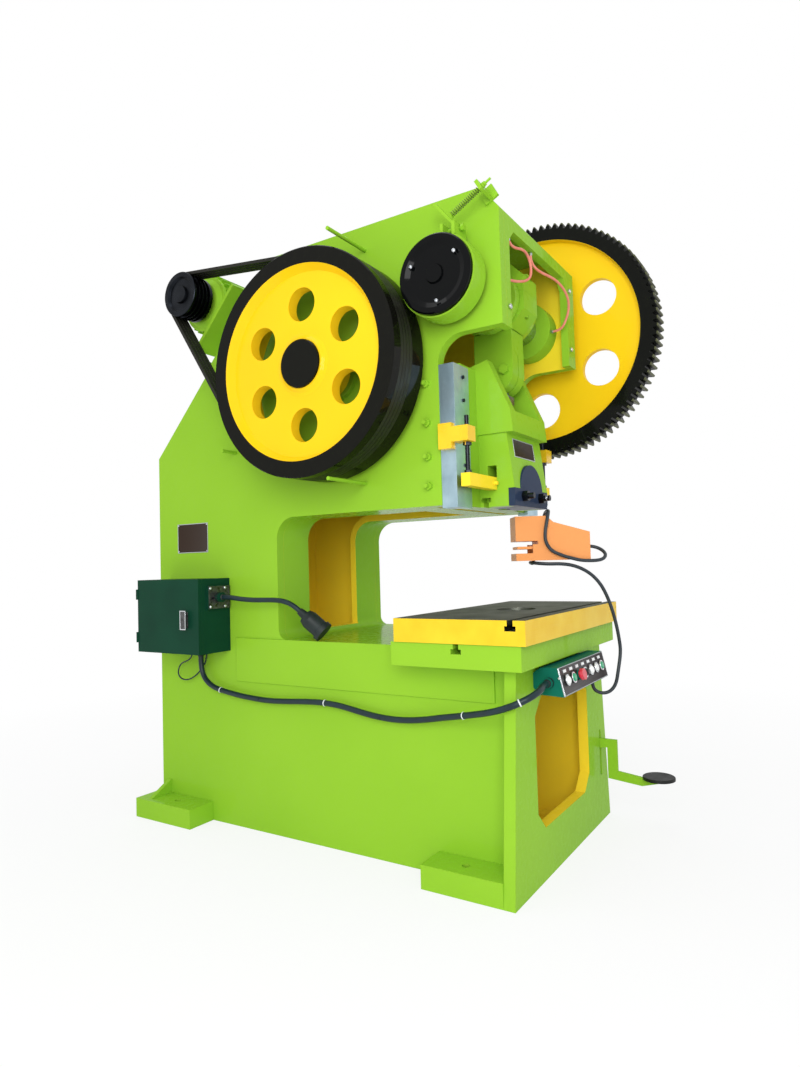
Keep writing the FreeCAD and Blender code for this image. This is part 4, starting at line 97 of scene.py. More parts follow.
def grain(tree, place, size_mm, detail=2.0, stretch=None):
    """Noise of a given size, stretched along the axes if asked."""
    if stretch:
        place = add(tree, "ShaderNodeMapping", {"Vector": place, "Scale": stretch}).outputs[0]
    return add(tree, "ShaderNodeTexNoise", {"Vector": place, "Scale": per_metre(size_mm),
                                            "Detail": detail}).outputs[0]


def spread(tree, value, low, high, from_low=0.3, from_high=0.7):
    """Noise spread over a range: low where the noise is weak, high where it is strong."""
    return add(tree, "ShaderNodeMapRange",
               {0: value, 1: from_low, 2: from_high, 3: low, 4: high}).outputs[0]


def inside_box(tree, place, box):
    """1 inside a box given in millimetres, 0 outside it."""
    axes = add(tree, "ShaderNodeSeparateXYZ", {0: place}).outputs
    result = None
    for axis, (low, high) in enumerate(box):
        if low is None:
            continue
        near = add(tree, "ShaderNodeMath",
                   {0: axes[axis], 1: (low + high) / 2 * MM, 2: (high - low) / 2 * MM},
                   operation="COMPARE").outputs[0]
        result = near if result is None else product(tree, result, near)
    return result


def outside_round(tree, place, y_mm, z_mm, radius_mm):
    """1 further than a radius from an axis along X, 0 nearer to it."""
    arm = add(tree, "ShaderNodeVectorMath", {0: place, 1: (0, y_mm * MM, z_mm * MM)},
              operation="SUBTRACT").outputs[0]
    arm = add(tree, "ShaderNodeVectorMath", {0: arm, 1: (0, 1, 1)},
              operation="MULTIPLY").outputs[0]
    length = add(tree, "ShaderNodeVectorMath", {0: arm}, operation="LENGTH").outputs["Value"]
    return add(tree, "ShaderNodeMath", {0: length, 1: radius_mm * MM},
               operation="GREATER_THAN").outputs[0]


def before_slope(tree, place, y_share, z_share, limit_mm):
    """1 on the near side of a plane that leans in Y and Z, 0 beyond it."""
    reach = add(tree, "ShaderNodeVectorMath", {0: place, 1: (0, y_share, z_share)},
                operation="DOT_PRODUCT").outputs["Value"]
    return add(tree, "ShaderNodeMath", {0: reach, 1: limit_mm * MM},
               operation="LESS_THAN").outputs[0]


def inverse(tree, mask):
    """1 where the mask is 0, and 0 where it is 1."""
    return add(tree, "ShaderNodeMath", {0: 1.0, 1: mask}, operation="SUBTRACT").outputs[0]


def either(tree, masks):
    """1 where any of the masks is 1."""
    result = masks[0]
    for mask in masks[1:]:
        result = add(tree, "ShaderNodeMath", {0: result, 1: mask},
                     operation="MAXIMUM").outputs[0]
    return result


def mixed_colour(tree, first, second, amount):
    return add(tree, "ShaderNodeMix", {0: amount, 6: first, 7: second},
               data_type="RGBA").outputs[2]


def product(tree, first, second):
    return add(tree, "ShaderNodeMath", {0: first, 1: second}, operation="MULTIPLY").outputs[0]


def total(tree, first, second):
    return add(tree, "ShaderNodeMath", {0: first, 1: second}, operation="ADD").outputs[0]


def bump(tree, height, depth_mm, strength, normal=None):
    inputs = {"Height": height, "Distance": depth_mm * MM, "Strength": strength}
    if normal is not None:
        inputs["Normal"] = normal
    return add(tree, "ShaderNodeBump", inputs).outputs[0]


def soft_edges(tree, radius_mm):
    """Edges that catch the light as a rounded, painted corner does."""
    return add(tree, "ShaderNodeBevel", {"Radius": radius_mm * MM}, samples=4).outputs[0]


# ---------------------------------------------------------------- paints

# Two-pack enamel sprayed over filled and sanded steel plate: a wet gloss, with a faint orange
# peel, slow waves where filler was rubbed down, and a little workshop dust.
LIME = "#93C533"
LIME_DEEP = "#7CAF24"
YELLOW = "#F7CE1C"
YELLOW_DEEP = "#E9A912"
# Painted light: the yellow inside the frame is painted paler and brighter than the outside
# yellow, to stand in for light where it only comes in by the openings.
INNER_YELLOW_PAINTED_BRIGHTER = "#FFE136"
INNER_YELLOW_PAINTED_BRIGHTER_DEEP = "#FACF2A"
WORKSHOP_DUST = "#6E7450"
# Painted highlight: a lighter olive-grey for the ends of the gear's teeth, where they catch the
# light.
TIP_PAINTED_HIGHLIGHT = "#5A5C42"


# The default second colour is the inside yellow painted brighter: painted light for the inside
# of the frame.
def sprayed_enamel(name, colour, deep, patches=(), patch_colour=INNER_YELLOW_PAINTED_BRIGHTER,
                   patch_deep=INNER_YELLOW_PAINTED_BRIGHTER_DEEP, rough=0.24, cast=False, edge_mm=1.6, rings=(),
                   discs=(), slope=None, highlight_tips=None, coat=0.12, dusty=0.02):
    """Enamel with its second colour inside boxes, outside rings and inside discs.

    A slope limits the second colour to the near side of a plane, and tips are the ends of teeth
    outside a last ring, painted a lighter olive-grey as a painted highlight where they catch the
    light. All sizes are in millimetres.
    """
    material, tree, shader, place = new_material(name)
    cloud = grain(tree, place, 420, 2)
    dust = grain(tree, place, 26, 4)
    drift = spread(tree, cloud, 0.0, 0.20)
    body = mixed_colour(tree, paint_colour(colour), paint_colour(deep), drift)
    masks = [inside_box(tree, place, box) for box in patches]
    masks += [outside_round(tree, place, *ring) for ring in rings]
    masks += [inverse(tree, outside_round(tree, place, *disc)) for disc in discs]
    if masks:
        mask = either(tree, masks)
        if slope:
            mask = product(tree, mask, before_slope(tree, place, *slope))
        other = mixed_colour(tree, paint_colour(patch_colour), paint_colour(patch_deep), drift)
        body = mixed_colour(tree, body, other, mask)
    # Painted highlight: the ends of the teeth are painted lighter.
    if highlight_tips:
        body = mixed_colour(tree, body, paint_colour(TIP_PAINTED_HIGHLIGHT),
                            outside_round(tree, place, *highlight_tips))
    body = mixed_colour(tree, body, paint_colour(WORKSHOP_DUST),
                        spread(tree, dust, 0.0, dusty, 0.5, 0.8))
    tree.links.new(body, shader.inputs["Base Color"])
    tree.links.new(spread(tree, dust, rough, rough + 0.06), shader.inputs["Roughness"])
    waves = bump(tree, cloud, 1.2, 0.3, soft_edges(tree, edge_mm))
    # Sprayed plate has a fine orange peel, a painted casting the deeper skin of its sand mould.
    if cast:
        skin = bump(tree, grain(tree, place, 4.5, 4), 0.22, 0.4, waves)
    else:
        skin = bump(tree, grain(tree, place, 3.2, 1), 0.012, 0.4, waves)
    tree.links.new(skin, shader.inputs["Normal"])
    shader.inputs["IOR"].default_value = 1.5
    shader.inputs["Specular IOR Level"].default_value = 0.012
    shader.inputs["Coat Weight"].default_value = coat
    shader.inputs["Coat Roughness"].default_value = 0.06
    return material


# The yellow inside patches of the two-colour enamels below are painted brighter, as painted
# light for the inside of the frame.
plate_enamel = sprayed_enamel("sprayed_enamel_lime", LIME, LIME_DEEP)
plate_two_colours = sprayed_enamel(
    "sprayed_enamel_lime_yellow_inside", LIME, LIME_DEEP,
    patches=[[(-330.4, 330.4), (-890, 861.6), (None, None)]], slope=(0.72298, 0.69089, 1719.2))
lining_enamel = sprayed_enamel(
    "sprayed_enamel_throat_lining", LIME, LIME_DEEP,
    patches=[[(None, None), (158.6, 900), (None, None)],
             [(-172.4, 172.4), (-430.4, 900), (805.4, 1400)],
             [(None, None), (-900, 900), (1279, 2500)],
             [(None, None), (-900, 900), (700, 784)]])
front_plate_enamel = sprayed_enamel(
    "sprayed_enamel_front_plate", LIME, LIME_DEEP,
    patches=[[(-330.2, 330.2), (-899.6, -850), (None, None)]])
rear_cover_enamel = sprayed_enamel(
    "sprayed_enamel_rear_cover", LIME, LIME_DEEP,
    patches=[[(None, None), (-900, 861.5), (0, 1560)]])
top_plate_enamel = sprayed_enamel(
    "sprayed_enamel_top_plate", LIME, LIME_DEEP,
    patches=[[(-330.4, 330.4), (-780, 900), (2200, 2341.8)]])
cast_enamel = sprayed_enamel("brushed_enamel_on_cast_iron_lime", LIME, LIME_DEEP, cast=True,
                             rough=0.26, edge_mm=2.6)
# Yellow enamel painted brighter: painted light standing in for the light inside the frame.
inner_enamel_painted_brighter = sprayed_enamel("sprayed_enamel_yellow_painted_brighter", INNER_YELLOW_PAINTED_BRIGHTER, INNER_YELLOW_PAINTED_BRIGHTER_DEEP)
flywheel_enamel = sprayed_enamel(
    "enamel_flywheel_yellow_black_rim", YELLOW, YELLOW_DEEP, patch_colour="#0F0F0B",
    patch_deep="#16170F", rings=[(FLYWHEEL_Y, FLYWHEEL_Z, 356.4)],
    discs=[(FLYWHEEL_Y, FLYWHEEL_Z, 88.6)], cast=True, rough=0.22, coat=0.2, dusty=0.01)
gear_enamel = sprayed_enamel(
    "enamel_gear_yellow_black_teeth", YELLOW, YELLOW_DEEP, patch_colour="#0E0F0C",
    patch_deep="#191A15", rings=[(CRANK_Y, CRANK_Z, 443.2)], highlight_tips=(CRANK_Y, CRANK_Z, 509),
    cast=True, rough=0.3, edge_mm=0.8, coat=0.15, dusty=0.01)
black_enamel = sprayed_enamel("sprayed_enamel_black", "#060708", "#0B0C0E", rough=0.14,
                              coat=0.22, dusty=0.004)
clamp_enamel = sprayed_enamel("enamel_blue_black_clamp", "#303D55", "#1F293A", cast=True,
                              rough=0.3, edge_mm=2.4)
switch_enamel = sprayed_enamel("enamel_orange_on_cast_aluminium", "#EFA061", "#E2863C",
                               cast=True, rough=0.34, edge_mm=3.0)


def powder_coat(name, colour, deep, rough):
    """Textured powder coat on thin sheet: an even fine crackle and a soft sheen."""
    material, tree, shader, place = new_material(name)
    cloud = grain(tree, place, 160, 2)
    crackle = grain(tree, place, 1.6, 3)
    tree.links.new(mixed_colour(tree, paint_colour(colour), paint_colour(deep),
                                spread(tree, cloud, 0.0, 0.5)), shader.inputs["Base Color"])
    tree.links.new(spread(tree, crackle, rough, rough + 0.15), shader.inputs["Roughness"])
    normal = bump(tree, crackle, 0.12, 0.5, soft_edges(tree, 1.2))
    tree.links.new(normal, shader.inputs["Normal"])
    shader.inputs["IOR"].default_value = 1.5
    shader.inputs["Specular IOR Level"].default_value = 0.08
    return material


cabinet_coat = powder_coat("powder_coat_bottle_green", "#0F3F2C", "#0B3123", 0.3)
control_coat = powder_coat("powder_coat_teal", "#0F6A58", "#0B5143", 0.34)


# ---------------------------------------------------------------- metals

def cut_metal(name, colour, dark, rough, lay_axis, pitch_mm, oily, edge_mm=0.6):
    """Planed, milled or turned metal: fine parallel tool marks and an oily bloom."""
    material, tree, shader, place = new_material(name)
    stretch = {None: None, "x": (0.02, 1, 1), "y": (1, 0.02, 1), "z": (1, 1, 0.02)}[lay_axis]
    marks = grain(tree, place, pitch_mm, 3, stretch)
    bloom = grain(tree, place, 70, 4)
    body = mixed_colour(tree, paint_colour(colour), paint_colour(dark),
                        spread(tree, bloom, 0.0, 0.8, 0.35, 0.7))
    tree.links.new(body, shader.inputs["Base Color"])
    tree.links.new(total(tree, spread(tree, marks, rough, rough + 0.12),
                         spread(tree, bloom, -oily, oily)), shader.inputs["Roughness"])
    tree.links.new(bump(tree, marks, 0.06, 0.6, soft_edges(tree, edge_mm)),
                   shader.inputs["Normal"])
    shader.inputs["Metallic"].default_value = 1.0
    return material


# Planed grey iron, steel blue where it was wiped with oil.
gib_iron = cut_metal("scraped_grey_iron", "#B9D3DE", "#93AEBA", 0.34, "z", 2.4, 0.05)
# Turned shafts, clean and bright.
turned_steel = cut_metal("turned_steel", "#C9CCCE", "#9EA3A6", 0.22, "x", 0.9, 0.03)
# Chemically blackened screws and nuts, with the blue-brown cast of oil.
black_oxide = cut_metal("black_oxide_steel", "#3A3E45", "#22252A", 0.30, None, 1.2, 0.05)
# The ball screw's collar, oil-blued.
screw_steel = cut_metal("oil_blued_steel", "#5B6B80", "#2C3542", 0.24, "z", 3.0, 0.05)
# Bright zinc on small screws.
zinc_plate = cut_metal("zinc_plated_steel", "#D6D9DC", "#AEB4BA", 0.24, None, 1.0, 0.04, 0.3)
# Chromed bezels and handle.
chrome = cut_metal("chromed_brass", "#E9ECEF", "#D5DADF", 0.08, None, 0.8, 0.02, 0.3)
# Cast iron pulley, turned and blacked.
pulley_iron = cut_metal("blacked_cast_iron_pulley", "#24272C", "#14161A", 0.24, "x", 1.4, 0.04)
# Drawn spring wire with a thin green overspray.
spring_steel = cut_metal("spring_steel", "#6E7A48", "#4B5A28", 0.34, None, 1.0, 0.05)


def bolster_finish():
    """Planed grey iron on top and in the bores, brushed yellow enamel on the four sides."""
    material, tree, shader, place = new_material("planed_iron_with_yellow_sides")
    marks = grain(tree, place, 2.6, 3, (0.015, 1, 1))
    bloom = grain(tree, place, 110, 5)
    cut_face = inside_box(tree, place, [(-494.4, 494.4), (-961.4, -479.6), (None, None)])
    iron = mixed_colour(tree, paint_colour("#73766D"), paint_colour("#5B5E56"),
                        spread(tree, bloom, 0, 0.7, 0.35, 0.65))
    side = mixed_colour(tree, paint_colour("#F0CC2E"), paint_colour("#E2B01B"),
                        spread(tree, bloom, 0, 0.6))
    tree.links.new(mixed_colour(tree, side, iron, cut_face), shader.inputs["Base Color"])
    tree.links.new(cut_face, shader.inputs["Metallic"])
    tree.links.new(total(tree, spread(tree, marks, 0.36, 0.5),
                         spread(tree, bloom, -0.05, 0.06)), shader.inputs["Roughness"])
    tree.links.new(bump(tree, marks, 0.05, 0.6, soft_edges(tree, 1.2)),
                   shader.inputs["Normal"])
    shader.inputs["Specular Tint"].default_value = (0.34, 0.35, 0.31, 1)
    return material


bolster_surface = bolster_finish()


def stop_finish():
    """Yellow enamel blocks whose adjusting screws are blackened steel."""
    material, tree, shader, place = new_material("enamel_yellow_with_black_screws")
    cloud = grain(tree, place, 90, 2)
    screw_x = 355
    screws = [inside_box(tree, place, [(side * screw_x - 14, side * screw_x + 14),
                                       (-727.5, -699.5), (1300, 1600)]) for side in (-1, 1)]
    block = inside_box(tree, place, [(None, None), (None, None), (1491.5, 1545.5)])
    steel = product(tree, either(tree, screws), inverse(tree, block))
    paint = mixed_colour(tree, paint_colour(YELLOW), paint_colour(YELLOW_DEEP),
                         spread(tree, cloud, 0, 0.4))
    tree.links.new(mixed_colour(tree, paint, paint_colour("#2A2C30"), steel),
                   shader.inputs["Base Color"])
    tree.links.new(steel, shader.inputs["Metallic"])
    tree.links.new(spread(tree, cloud, 0.22, 0.34), shader.inputs["Roughness"])
    tree.links.new(soft_edges(tree, 1.4), shader.inputs["Normal"])
    return material


stop_surface = stop_finish()


def crank_finish():
    """Turned journals between green-painted cheeks."""
    material, tree, shader, place = new_material("turned_crank_with_lime_cheeks")
    marks = grain(tree, place, 1.2, 3, (0.02, 1, 1))
    cheek_x = 88
    cheeks = either(tree, [inside_box(tree, place, [(side * cheek_x - 20, side * cheek_x + 20),
                                                    (None, None), (None, None)])
                           for side in (-1, 1)])
    bare = inverse(tree, cheeks)
    tree.links.new(mixed_colour(tree, paint_colour("#C2C5C7"), paint_colour(LIME), cheeks),
                   shader.inputs["Base Color"])
    tree.links.new(bare, shader.inputs["Metallic"])
    tree.links.new(spread(tree, marks, 0.2, 0.34), shader.inputs["Roughness"])
    tree.links.new(bump(tree, marks, 0.05, 0.5, soft_edges(tree, 1.5)), shader.inputs["Normal"])
    return material


crank_surface = crank_finish()


# ---------------------------------------------------------------- rubber and plastic

def rubber(name, colour, deep, rough, grain_mm=1.4, depth_mm=0.05):
    """Extruded or moulded rubber: dark, with a broad dull highlight and fine skin."""
    material, tree, shader, place = new_material(name)
    skin = grain(tree, place, grain_mm, 3)
    scuff = grain(tree, place, 45, 4)
    tree.links.new(mixed_colour(tree, paint_colour(colour), paint_colour(deep),
                                spread(tree, scuff, 0, 0.7)), shader.inputs["Base Color"])
    tree.links.new(spread(tree, scuff, rough, rough + 0.16), shader.inputs["Roughness"])
    tree.links.new(bump(tree, skin, depth_mm, 0.5), shader.inputs["Normal"])
    shader.inputs["IOR"].default_value = 1.52
    shader.inputs["Specular IOR Level"].default_value = 0.3
    return material


belt_rubber = rubber("wrapped_v_belt_rubber", "#16160F", "#22221A", 0.5, 2.2, 0.12)
cable_rubber = rubber("extruded_pvc_cable_black", "#15262B", "#1E333A", 0.26)
thin_cable_rubber = rubber("extruded_pvc_cable_grey_black", "#2B3136", "#3A4248", 0.34)
plug_rubber = rubber("moulded_rubber_plug", "#17201F", "#242F2E", 0.42, 1.8, 0.1)
pad_rubber = rubber("moulded_rubber_pad", "#0E1010", "#181B1A", 0.5, 2.0, 0.15)
hose_rubber = rubber("nylon_oil_hose_salmon", "#E07A66", "#EF9C86", 0.3)
tie_nylon = rubber("moulded_nylon_white", "#EDF1F1", "#D8DEDF", 0.35, 0.8, 0.02)


def moulded_plastic(name, colour, rough=0.2):
    """Injection-moulded ABS: clean gloss with a hint of flow unevenness."""
    material, tree, shader, place = new_material(name)
    flow = grain(tree, place, 14, 2)
    tree.links.new(mixed_colour(tree, paint_colour(colour), paint_colour("#FFFFFF"),
                                spread(tree, flow, 0, 0.06)), shader.inputs["Base Color"])
    tree.links.new(spread(tree, flow, rough, rough + 0.1), shader.inputs["Roughness"])
    tree.links.new(bump(tree, flow, 0.05, 0.3, soft_edges(tree, 0.6)), shader.inputs["Normal"])
    shader.inputs["IOR"].default_value = 1.54
    return material


green_plastic = moulded_plastic("moulded_abs_green", "#1FA673")
red_plastic = moulded_plastic("moulded_abs_red", "#D8203C")
white_plastic = moulded_plastic("moulded_abs_white", "#F4F5F2")
black_plastic = moulded_plastic("moulded_abs_black", "#1A1A1C", 0.25)


def anodised_sheet(name, colour, deep):
    """Brushed and anodised aluminium sheet: a tinted metal with hairlines along X."""
    material, tree, shader, place = new_material(name)
    hair = grain(tree, place, 0.9, 3, (0.01, 1, 1))
    tree.links.new(mixed_colour(tree, paint_colour(colour), paint_colour(deep),
                                spread(tree, hair, 0, 1)), shader.inputs["Base Color"])
    tree.links.new(spread(tree, hair, 0.3, 0.46), shader.inputs["Roughness"])
    tree.links.new(bump(tree, hair, 0.02, 0.5), shader.inputs["Normal"])
    shader.inputs["Metallic"].default_value = 0.6
    return material


panel_sheet = anodised_sheet("anodised_aluminium_brown", "#2C2324", "#221B1C")
plate_sheet = anodised_sheet("anodised_aluminium_dark_brown_plate", "#2A1D14", "#3A281B")
plate_border = anodised_sheet("anodised_aluminium_natural", "#C4C8CA", "#A9AEB1")


# ---------------------------------------------------------------- finishes on the CAD nodes

def dress(material, *names):
    for name in names:
        slots = parts[name].data.materials
        if not slots:
            slots.append(material)
        for i in range(len(slots)):
            slots[i] = material


dress(plate_two_colours, "side_plate_left", "side_plate_right")
dress(lining_enamel, "throat_lining")
dress(front_plate_enamel, "base_front_plate")
dress(rear_cover_enamel, "rear_cover")
dress(top_plate_enamel, "head_top_plate")
dress(plate_enamel, "head_front_flange", "anchor_feet", "bed_slab", "guard_studs",
      "motor_base_plate", "motor_mounts", "brake_band", "brake_bracket", "pedal_lever",
      "slide_housing")
# These take the yellow painted brighter: painted light.
dress(inner_enamel_painted_brighter, "inner_web", "knock_out_bar")
dress(cast_enamel, "shaft_bearings", "slide", "connecting_rod", "rod_cap", "rod_bolts",
      "motor_body", "motor_fan_cover", "gib_screws")
dress(flywheel_enamel, "flywheel")
dress(gear_enamel, "large_gear")
dress(black_enamel, "brake_drum")
dress(clamp_enamel, "die_clamp")
dress(bolster_surface, "bolster")
dress(stop_surface, "knock_out_stops")
dress(crank_surface, "crankshaft")
dress(gib_iron, "gib_left", "gib_right")
dress(turned_steel, "clutch_cover")
dress(black_oxide, "clamp_bolts", "pinion_shaft")
dress(screw_steel, "ball_screw")
dress(pulley_iron, "motor_pulley")
dress(spring_steel, "brake_spring")
dress(belt_rubber, "v_belts")
dress(cabinet_coat, "cabinet_box", "cabinet_door")
dress(control_coat, "control_box")
dress(switch_enamel, "foot_switch_body", "foot_switch_treadle")
dress(plug_rubber, "cord_plug")
dress(pad_rubber, "pedal_pad")
dress(black_plastic, "door_handle")
dress(green_plastic, "button_start", "button_jog")
dress(red_plastic, "button_stop")
dress(white_plastic, "button_white")
dress(black_plastic, "button_mode")


# ---------------------------------------------------------------- cords and hoses
# Each route is the CAD cord's own run, in millimetres.

SWITCH_ORIGIN = (74.5, -835.8, 1075)
SWITCH_TURN = math.radians(-57.5)


def switch_point(x, y, z):
    """A point in the hanging foot switch's own frame, turned into the press's frame."""
    return (SWITCH_ORIGIN[0] + x * math.cos(SWITCH_TURN) - y * math.sin(SWITCH_TURN),
            SWITCH_ORIGIN[1] + x * math.sin(SWITCH_TURN) + y * math.cos(SWITCH_TURN),
            SWITCH_ORIGIN[2] + z)


def smooth_line(name, route, radius_mm):
    """A round cord as one smooth spline whose control points are the route, in millimetres."""
    curve = bpy.data.curves.new(name, "CURVE")
    curve.dimensions = "3D"
    spline = curve.splines.new("NURBS")
    spline.points.add(len(route) - 1)
    for point, (x, y, z) in zip(spline.points, route):
        point.co = (x * MM, y * MM, z * MM, 1)
    spline.order_u = 3
    spline.use_endpoint_u = True
    curve.resolution_u = 10
    made = bpy.data.objects.new(name, curve)
    bpy.context.collection.objects.link(made)
    centre = bpy.data.meshes.new_from_object(made)
    line = [v.co.copy() for v in centre.vertices]
    bpy.data.meshes.remove(centre)
    curve.bevel_depth = radius_mm * MM
    curve.bevel_resolution = 5
    curve.use_fill_caps = True
    return made, line


# Conduit: down from the cabinet, along the side plate and round to the control box.
conduit_route = [
    (-400, 582, 707.7), (-400, 582, 655.7), (-401, 562, 610), (-400, 520, 580),
    (-400, 468, 566), (-399, 412, 558), (-399, 350, 550), (-398, 288, 545), (-398, 200, 541),
    (-397, 108, 545), (-396, 14, 552), (-395, -82, 556), (-395, -170, 550), (-396, -262, 534),
    (-398, -352, 523), (-400, -442, 522), (-406, -532, 533), (-416, -618, 551),
    (-428, -686, 564), (-442, -746, 577), (-458, -802, 590), (-470, -856, 606),
    (-470, -908, 626), (-446, -950, 648), (-398, -966, 664), (-352, -956, 672),
    (-313.3, -956, 672)]
conduit, conduit_line = smooth_line("conduit_cable", conduit_route, 11)
conduit.data.materials.append(cable_rubber)
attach(conduit, "press_frame")
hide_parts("conduit")

# Thin wire that loops out of the cabinet's underside and back.
loop_route = [(SIDE_FACE_X - clear, y, z) for clear, y, z in (
    (42, 622, 729.7), (42, 622, 704), (41, 650, 682), (38, 696, 670), (34, 722, 644),
    (31, 728, 614), (28, 708, 596), (25, 672, 594), (21, 634, 610), (16, 602, 638),
    (12, 578, 668), (12, 566, 700), (12, 564, 729.7))]
wire_loop, loop_line = smooth_line("cabinet_wire_loop", loop_route, 3)
wire_loop.data.materials.append(cable_rubber)
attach(wire_loop, "press_frame")
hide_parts("conduit")

# Lead from the cabinet's socket to the plug that leans in the throat's corner.
plug_route = [
    (-444, 395.7, 960), (-444, 361.7, 960), (-442, 319.7, 955), (-438, 271.7, 950),
    (-434, 223.7, 948), (-428, 175.7, 948), (-420, 131.7, 948), (-410, 92.7, 943),
    (-398.7, 53.7, 927.2), (-390.07, 28.2, 903.8)]
plug_lead, plug_line = smooth_line("plug_lead", plug_route, 10)
plug_lead.data.materials.append(cable_rubber)
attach(plug_lead, "press_frame")
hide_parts("plug_cord")

# Foot switch's lead: out of the box's underside, up past the slab and once round the switch. Its
# upper part rides on the slide and its lower end stays on the box; it is made as one mesh.
box_exit = (164, -952, 618.7)
switch_route = [(box_exit[0] + x, box_exit[1] + y, box_exit[2] + z) for x, y, z in (
    (0, 0, 0), (0, 0, -39), (6, -28, -57), (18, -60, -53), (26, -84, -23), (28, -94, 31))]
switch_route += [switch_point(*p) for p in (
    (258, 2, -355), (250, -6, -300), (238, -16, -245), (222, -28, -192), (202, -40, -142),
    (178, -52, -98), (146, -62, -62), (108, -68, -36), (66, -71, -20), (24, -72, -14),
    (-18, -70, -14), (-54, -60, -11), (-76, -26, -7.4), (-76, 14, -7.4), (-66, 36, -9),
    (-56, 68, -12), (-46, 90, 4), (-32, 93, 40), (-18, 86, 84), (-10, 80, 130),
    (-6, 72, 164), (-4, 42, 188), (-4, 0, 190), (-8, -40, 188), (-16, -68, 174),
    (-24, -76, 142), (-32, -79, 108), (-32, -78, 70), (-12, -78, 36), (26, -78, 18),
    (66, -78, 5), (106, -76, -5), (168, -72, -6), (193, -62, 4), (204, -36, 20),
    (193, -10, 38), (168, 0, 49), (148.3, 0, 50))]
switch_lead, switch_line = smooth_line("foot_switch_lead", switch_route, 6.5)
bpy.ops.object.select_all(action="DESELECT")
bpy.context.view_layer.objects.active = switch_lead
switch_lead.select_set(True)
bpy.ops.object.convert(target="MESH")
switch_lead = bpy.context.view_layer.objects.active
switch_lead.data.materials.clear()
switch_lead.data.materials.append(thin_cable_rubber)
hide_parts("foot_switch_cord")
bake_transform(switch_lead)

# Thin wire from the clamp's bolt down to the lead's loop.
wire_foot = switch_point(-4, 0, 196.4)
wire_route = [(80, -833, 1303.7), (78.5, -833, 1291.7),
              (wire_foot[0] + 1.5, wire_foot[1], wire_foot[2] + 12), wire_foot]
hang_wire, wire_line = smooth_line("hanging_wire", wire_route, 1.5)
hang_wire.data.materials.append(zinc_plate)
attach(hang_wire, "ram")
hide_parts("tie_wire")


BOSS_RADIUS = 120
BOSS_ANGLE = 0.175


def on_boss(x, out, side):
    """A point off a crank bearing boss's front, above its axis for 1 and below for -1."""
    reach = BOSS_RADIUS + out
    return (x, CRANK_Y - reach * math.cos(BOSS_ANGLE),
            CRANK_Z + side * reach * math.sin(BOSS_ANGLE))


# Oil hoses: from the head's corner to the left boss, and from the head's top to the right one.
corner = (-271, -853, 2207)
slant = 0.7071
short_route = [(corner[0] + reach * slant, corner[1], corner[2] - reach * slant)
               for reach in (0.3, 26)]
short_route += [
    (-214, -858, 2186), (-172, -862, 2198), (-130, -864, 2200), (-96, -864, 2182),
    (-84, -864, 2148), (-98, -864, 2116), (-136, -862, 2092), (-182, -858, 2076),
    (-222, -852, 2066), on_boss(-256, 30, 1), on_boss(-262, 1.8, 1)]
long_route = [
    (-60, -853, 2227.7), (-60, -853, 2194), (-36, -862, 2171), (8, -872, 2166),
    (58, -884, 2166), (110, -894, 2162), (160, -900, 2148), (202, -902, 2126),
    (226, -898, 2096), (246, -882, 2062), on_boss(260, 46, -1), on_boss(262, 1.2, -1)]
for word, route in (("short", short_route), ("long", long_route)):
    hose, hose_line = smooth_line(f"oil_hose_{word}", route, 5)
    hose.data.materials.append(hose_rubber)
    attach(hose, "press_frame")
    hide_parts("oil_hoses")


# ---------------------------------------------------------------- small fastenings and plates

def settled(piece, name, material, place_mm, along, body):
    """Turns a piece modelled about the origin onto its axis and fixes it in its mesh."""
    turn = Vector(along).to_track_quat("Z", "Y").to_matrix().to_4x4()
    bpy.ops.object.select_all(action="DESELECT")
    bpy.context.view_layer.objects.active = piece
    piece.select_set(True)
    piece.name = name
    piece.matrix_world = Matrix.Translation(Vector(place_mm) * MM) @ turn
    bpy.ops.object.transform_apply(location=True, rotation=True, scale=True)
    if material is not None:
        piece.data.materials.clear()
        piece.data.materials.append(material)
    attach(piece, body)
    return piece


def another(model, name, material, place_mm, along, body):
    """A copy of a model that lies about the origin, set at its own place."""
    made = bpy.data.objects.new(name, model.data.copy())
    bpy.context.collection.objects.link(made)
    return settled(made, name, material, place_mm, along, body)


def edit_top(piece, height, operations):
    """Runs edit-mode operations on the face that lies at a height."""
    bpy.ops.object.mode_set(mode="EDIT")
    bpy.ops.mesh.select_mode(type="FACE")
    bpy.ops.mesh.select_all(action="DESELECT")
    bpy.ops.object.mode_set(mode="OBJECT")
    for face in piece.data.polygons:
        face.select = abs(face.center.z - height) < 1e-6 and face.normal.z > 0.9
    bpy.ops.object.mode_set(mode="EDIT")
    for operation in operations:
        operation()
    bpy.ops.mesh.select_all(action="SELECT")
    bpy.ops.mesh.normals_make_consistent(inside=False)
    bpy.ops.object.mode_set(mode="OBJECT")


def raise_face(height_mm, scale=1.0):
    bpy.ops.mesh.extrude_region_move(TRANSFORM_OT_translate={"value": (0, 0, height_mm * MM)})
    if scale != 1.0:
        bpy.ops.transform.resize(value=(scale, scale, 1))


def soften(piece, width_mm, degrees=30):
    """A small bevel on the sharp edges, and smooth shading between them."""
    bevel = piece.modifiers.new("edge", "BEVEL")
    bevel.width = width_mm * MM
    bevel.segments = 2
    bevel.limit_method = "ANGLE"
    bevel.angle_limit = math.radians(degrees)
    bpy.context.view_layer.objects.active = piece
    bpy.ops.object.modifier_apply(modifier="edge")
    bpy.ops.object.select_all(action="DESELECT")
    piece.select_set(True)
    bpy.ops.object.shade_smooth_by_angle(angle=math.radians(35))


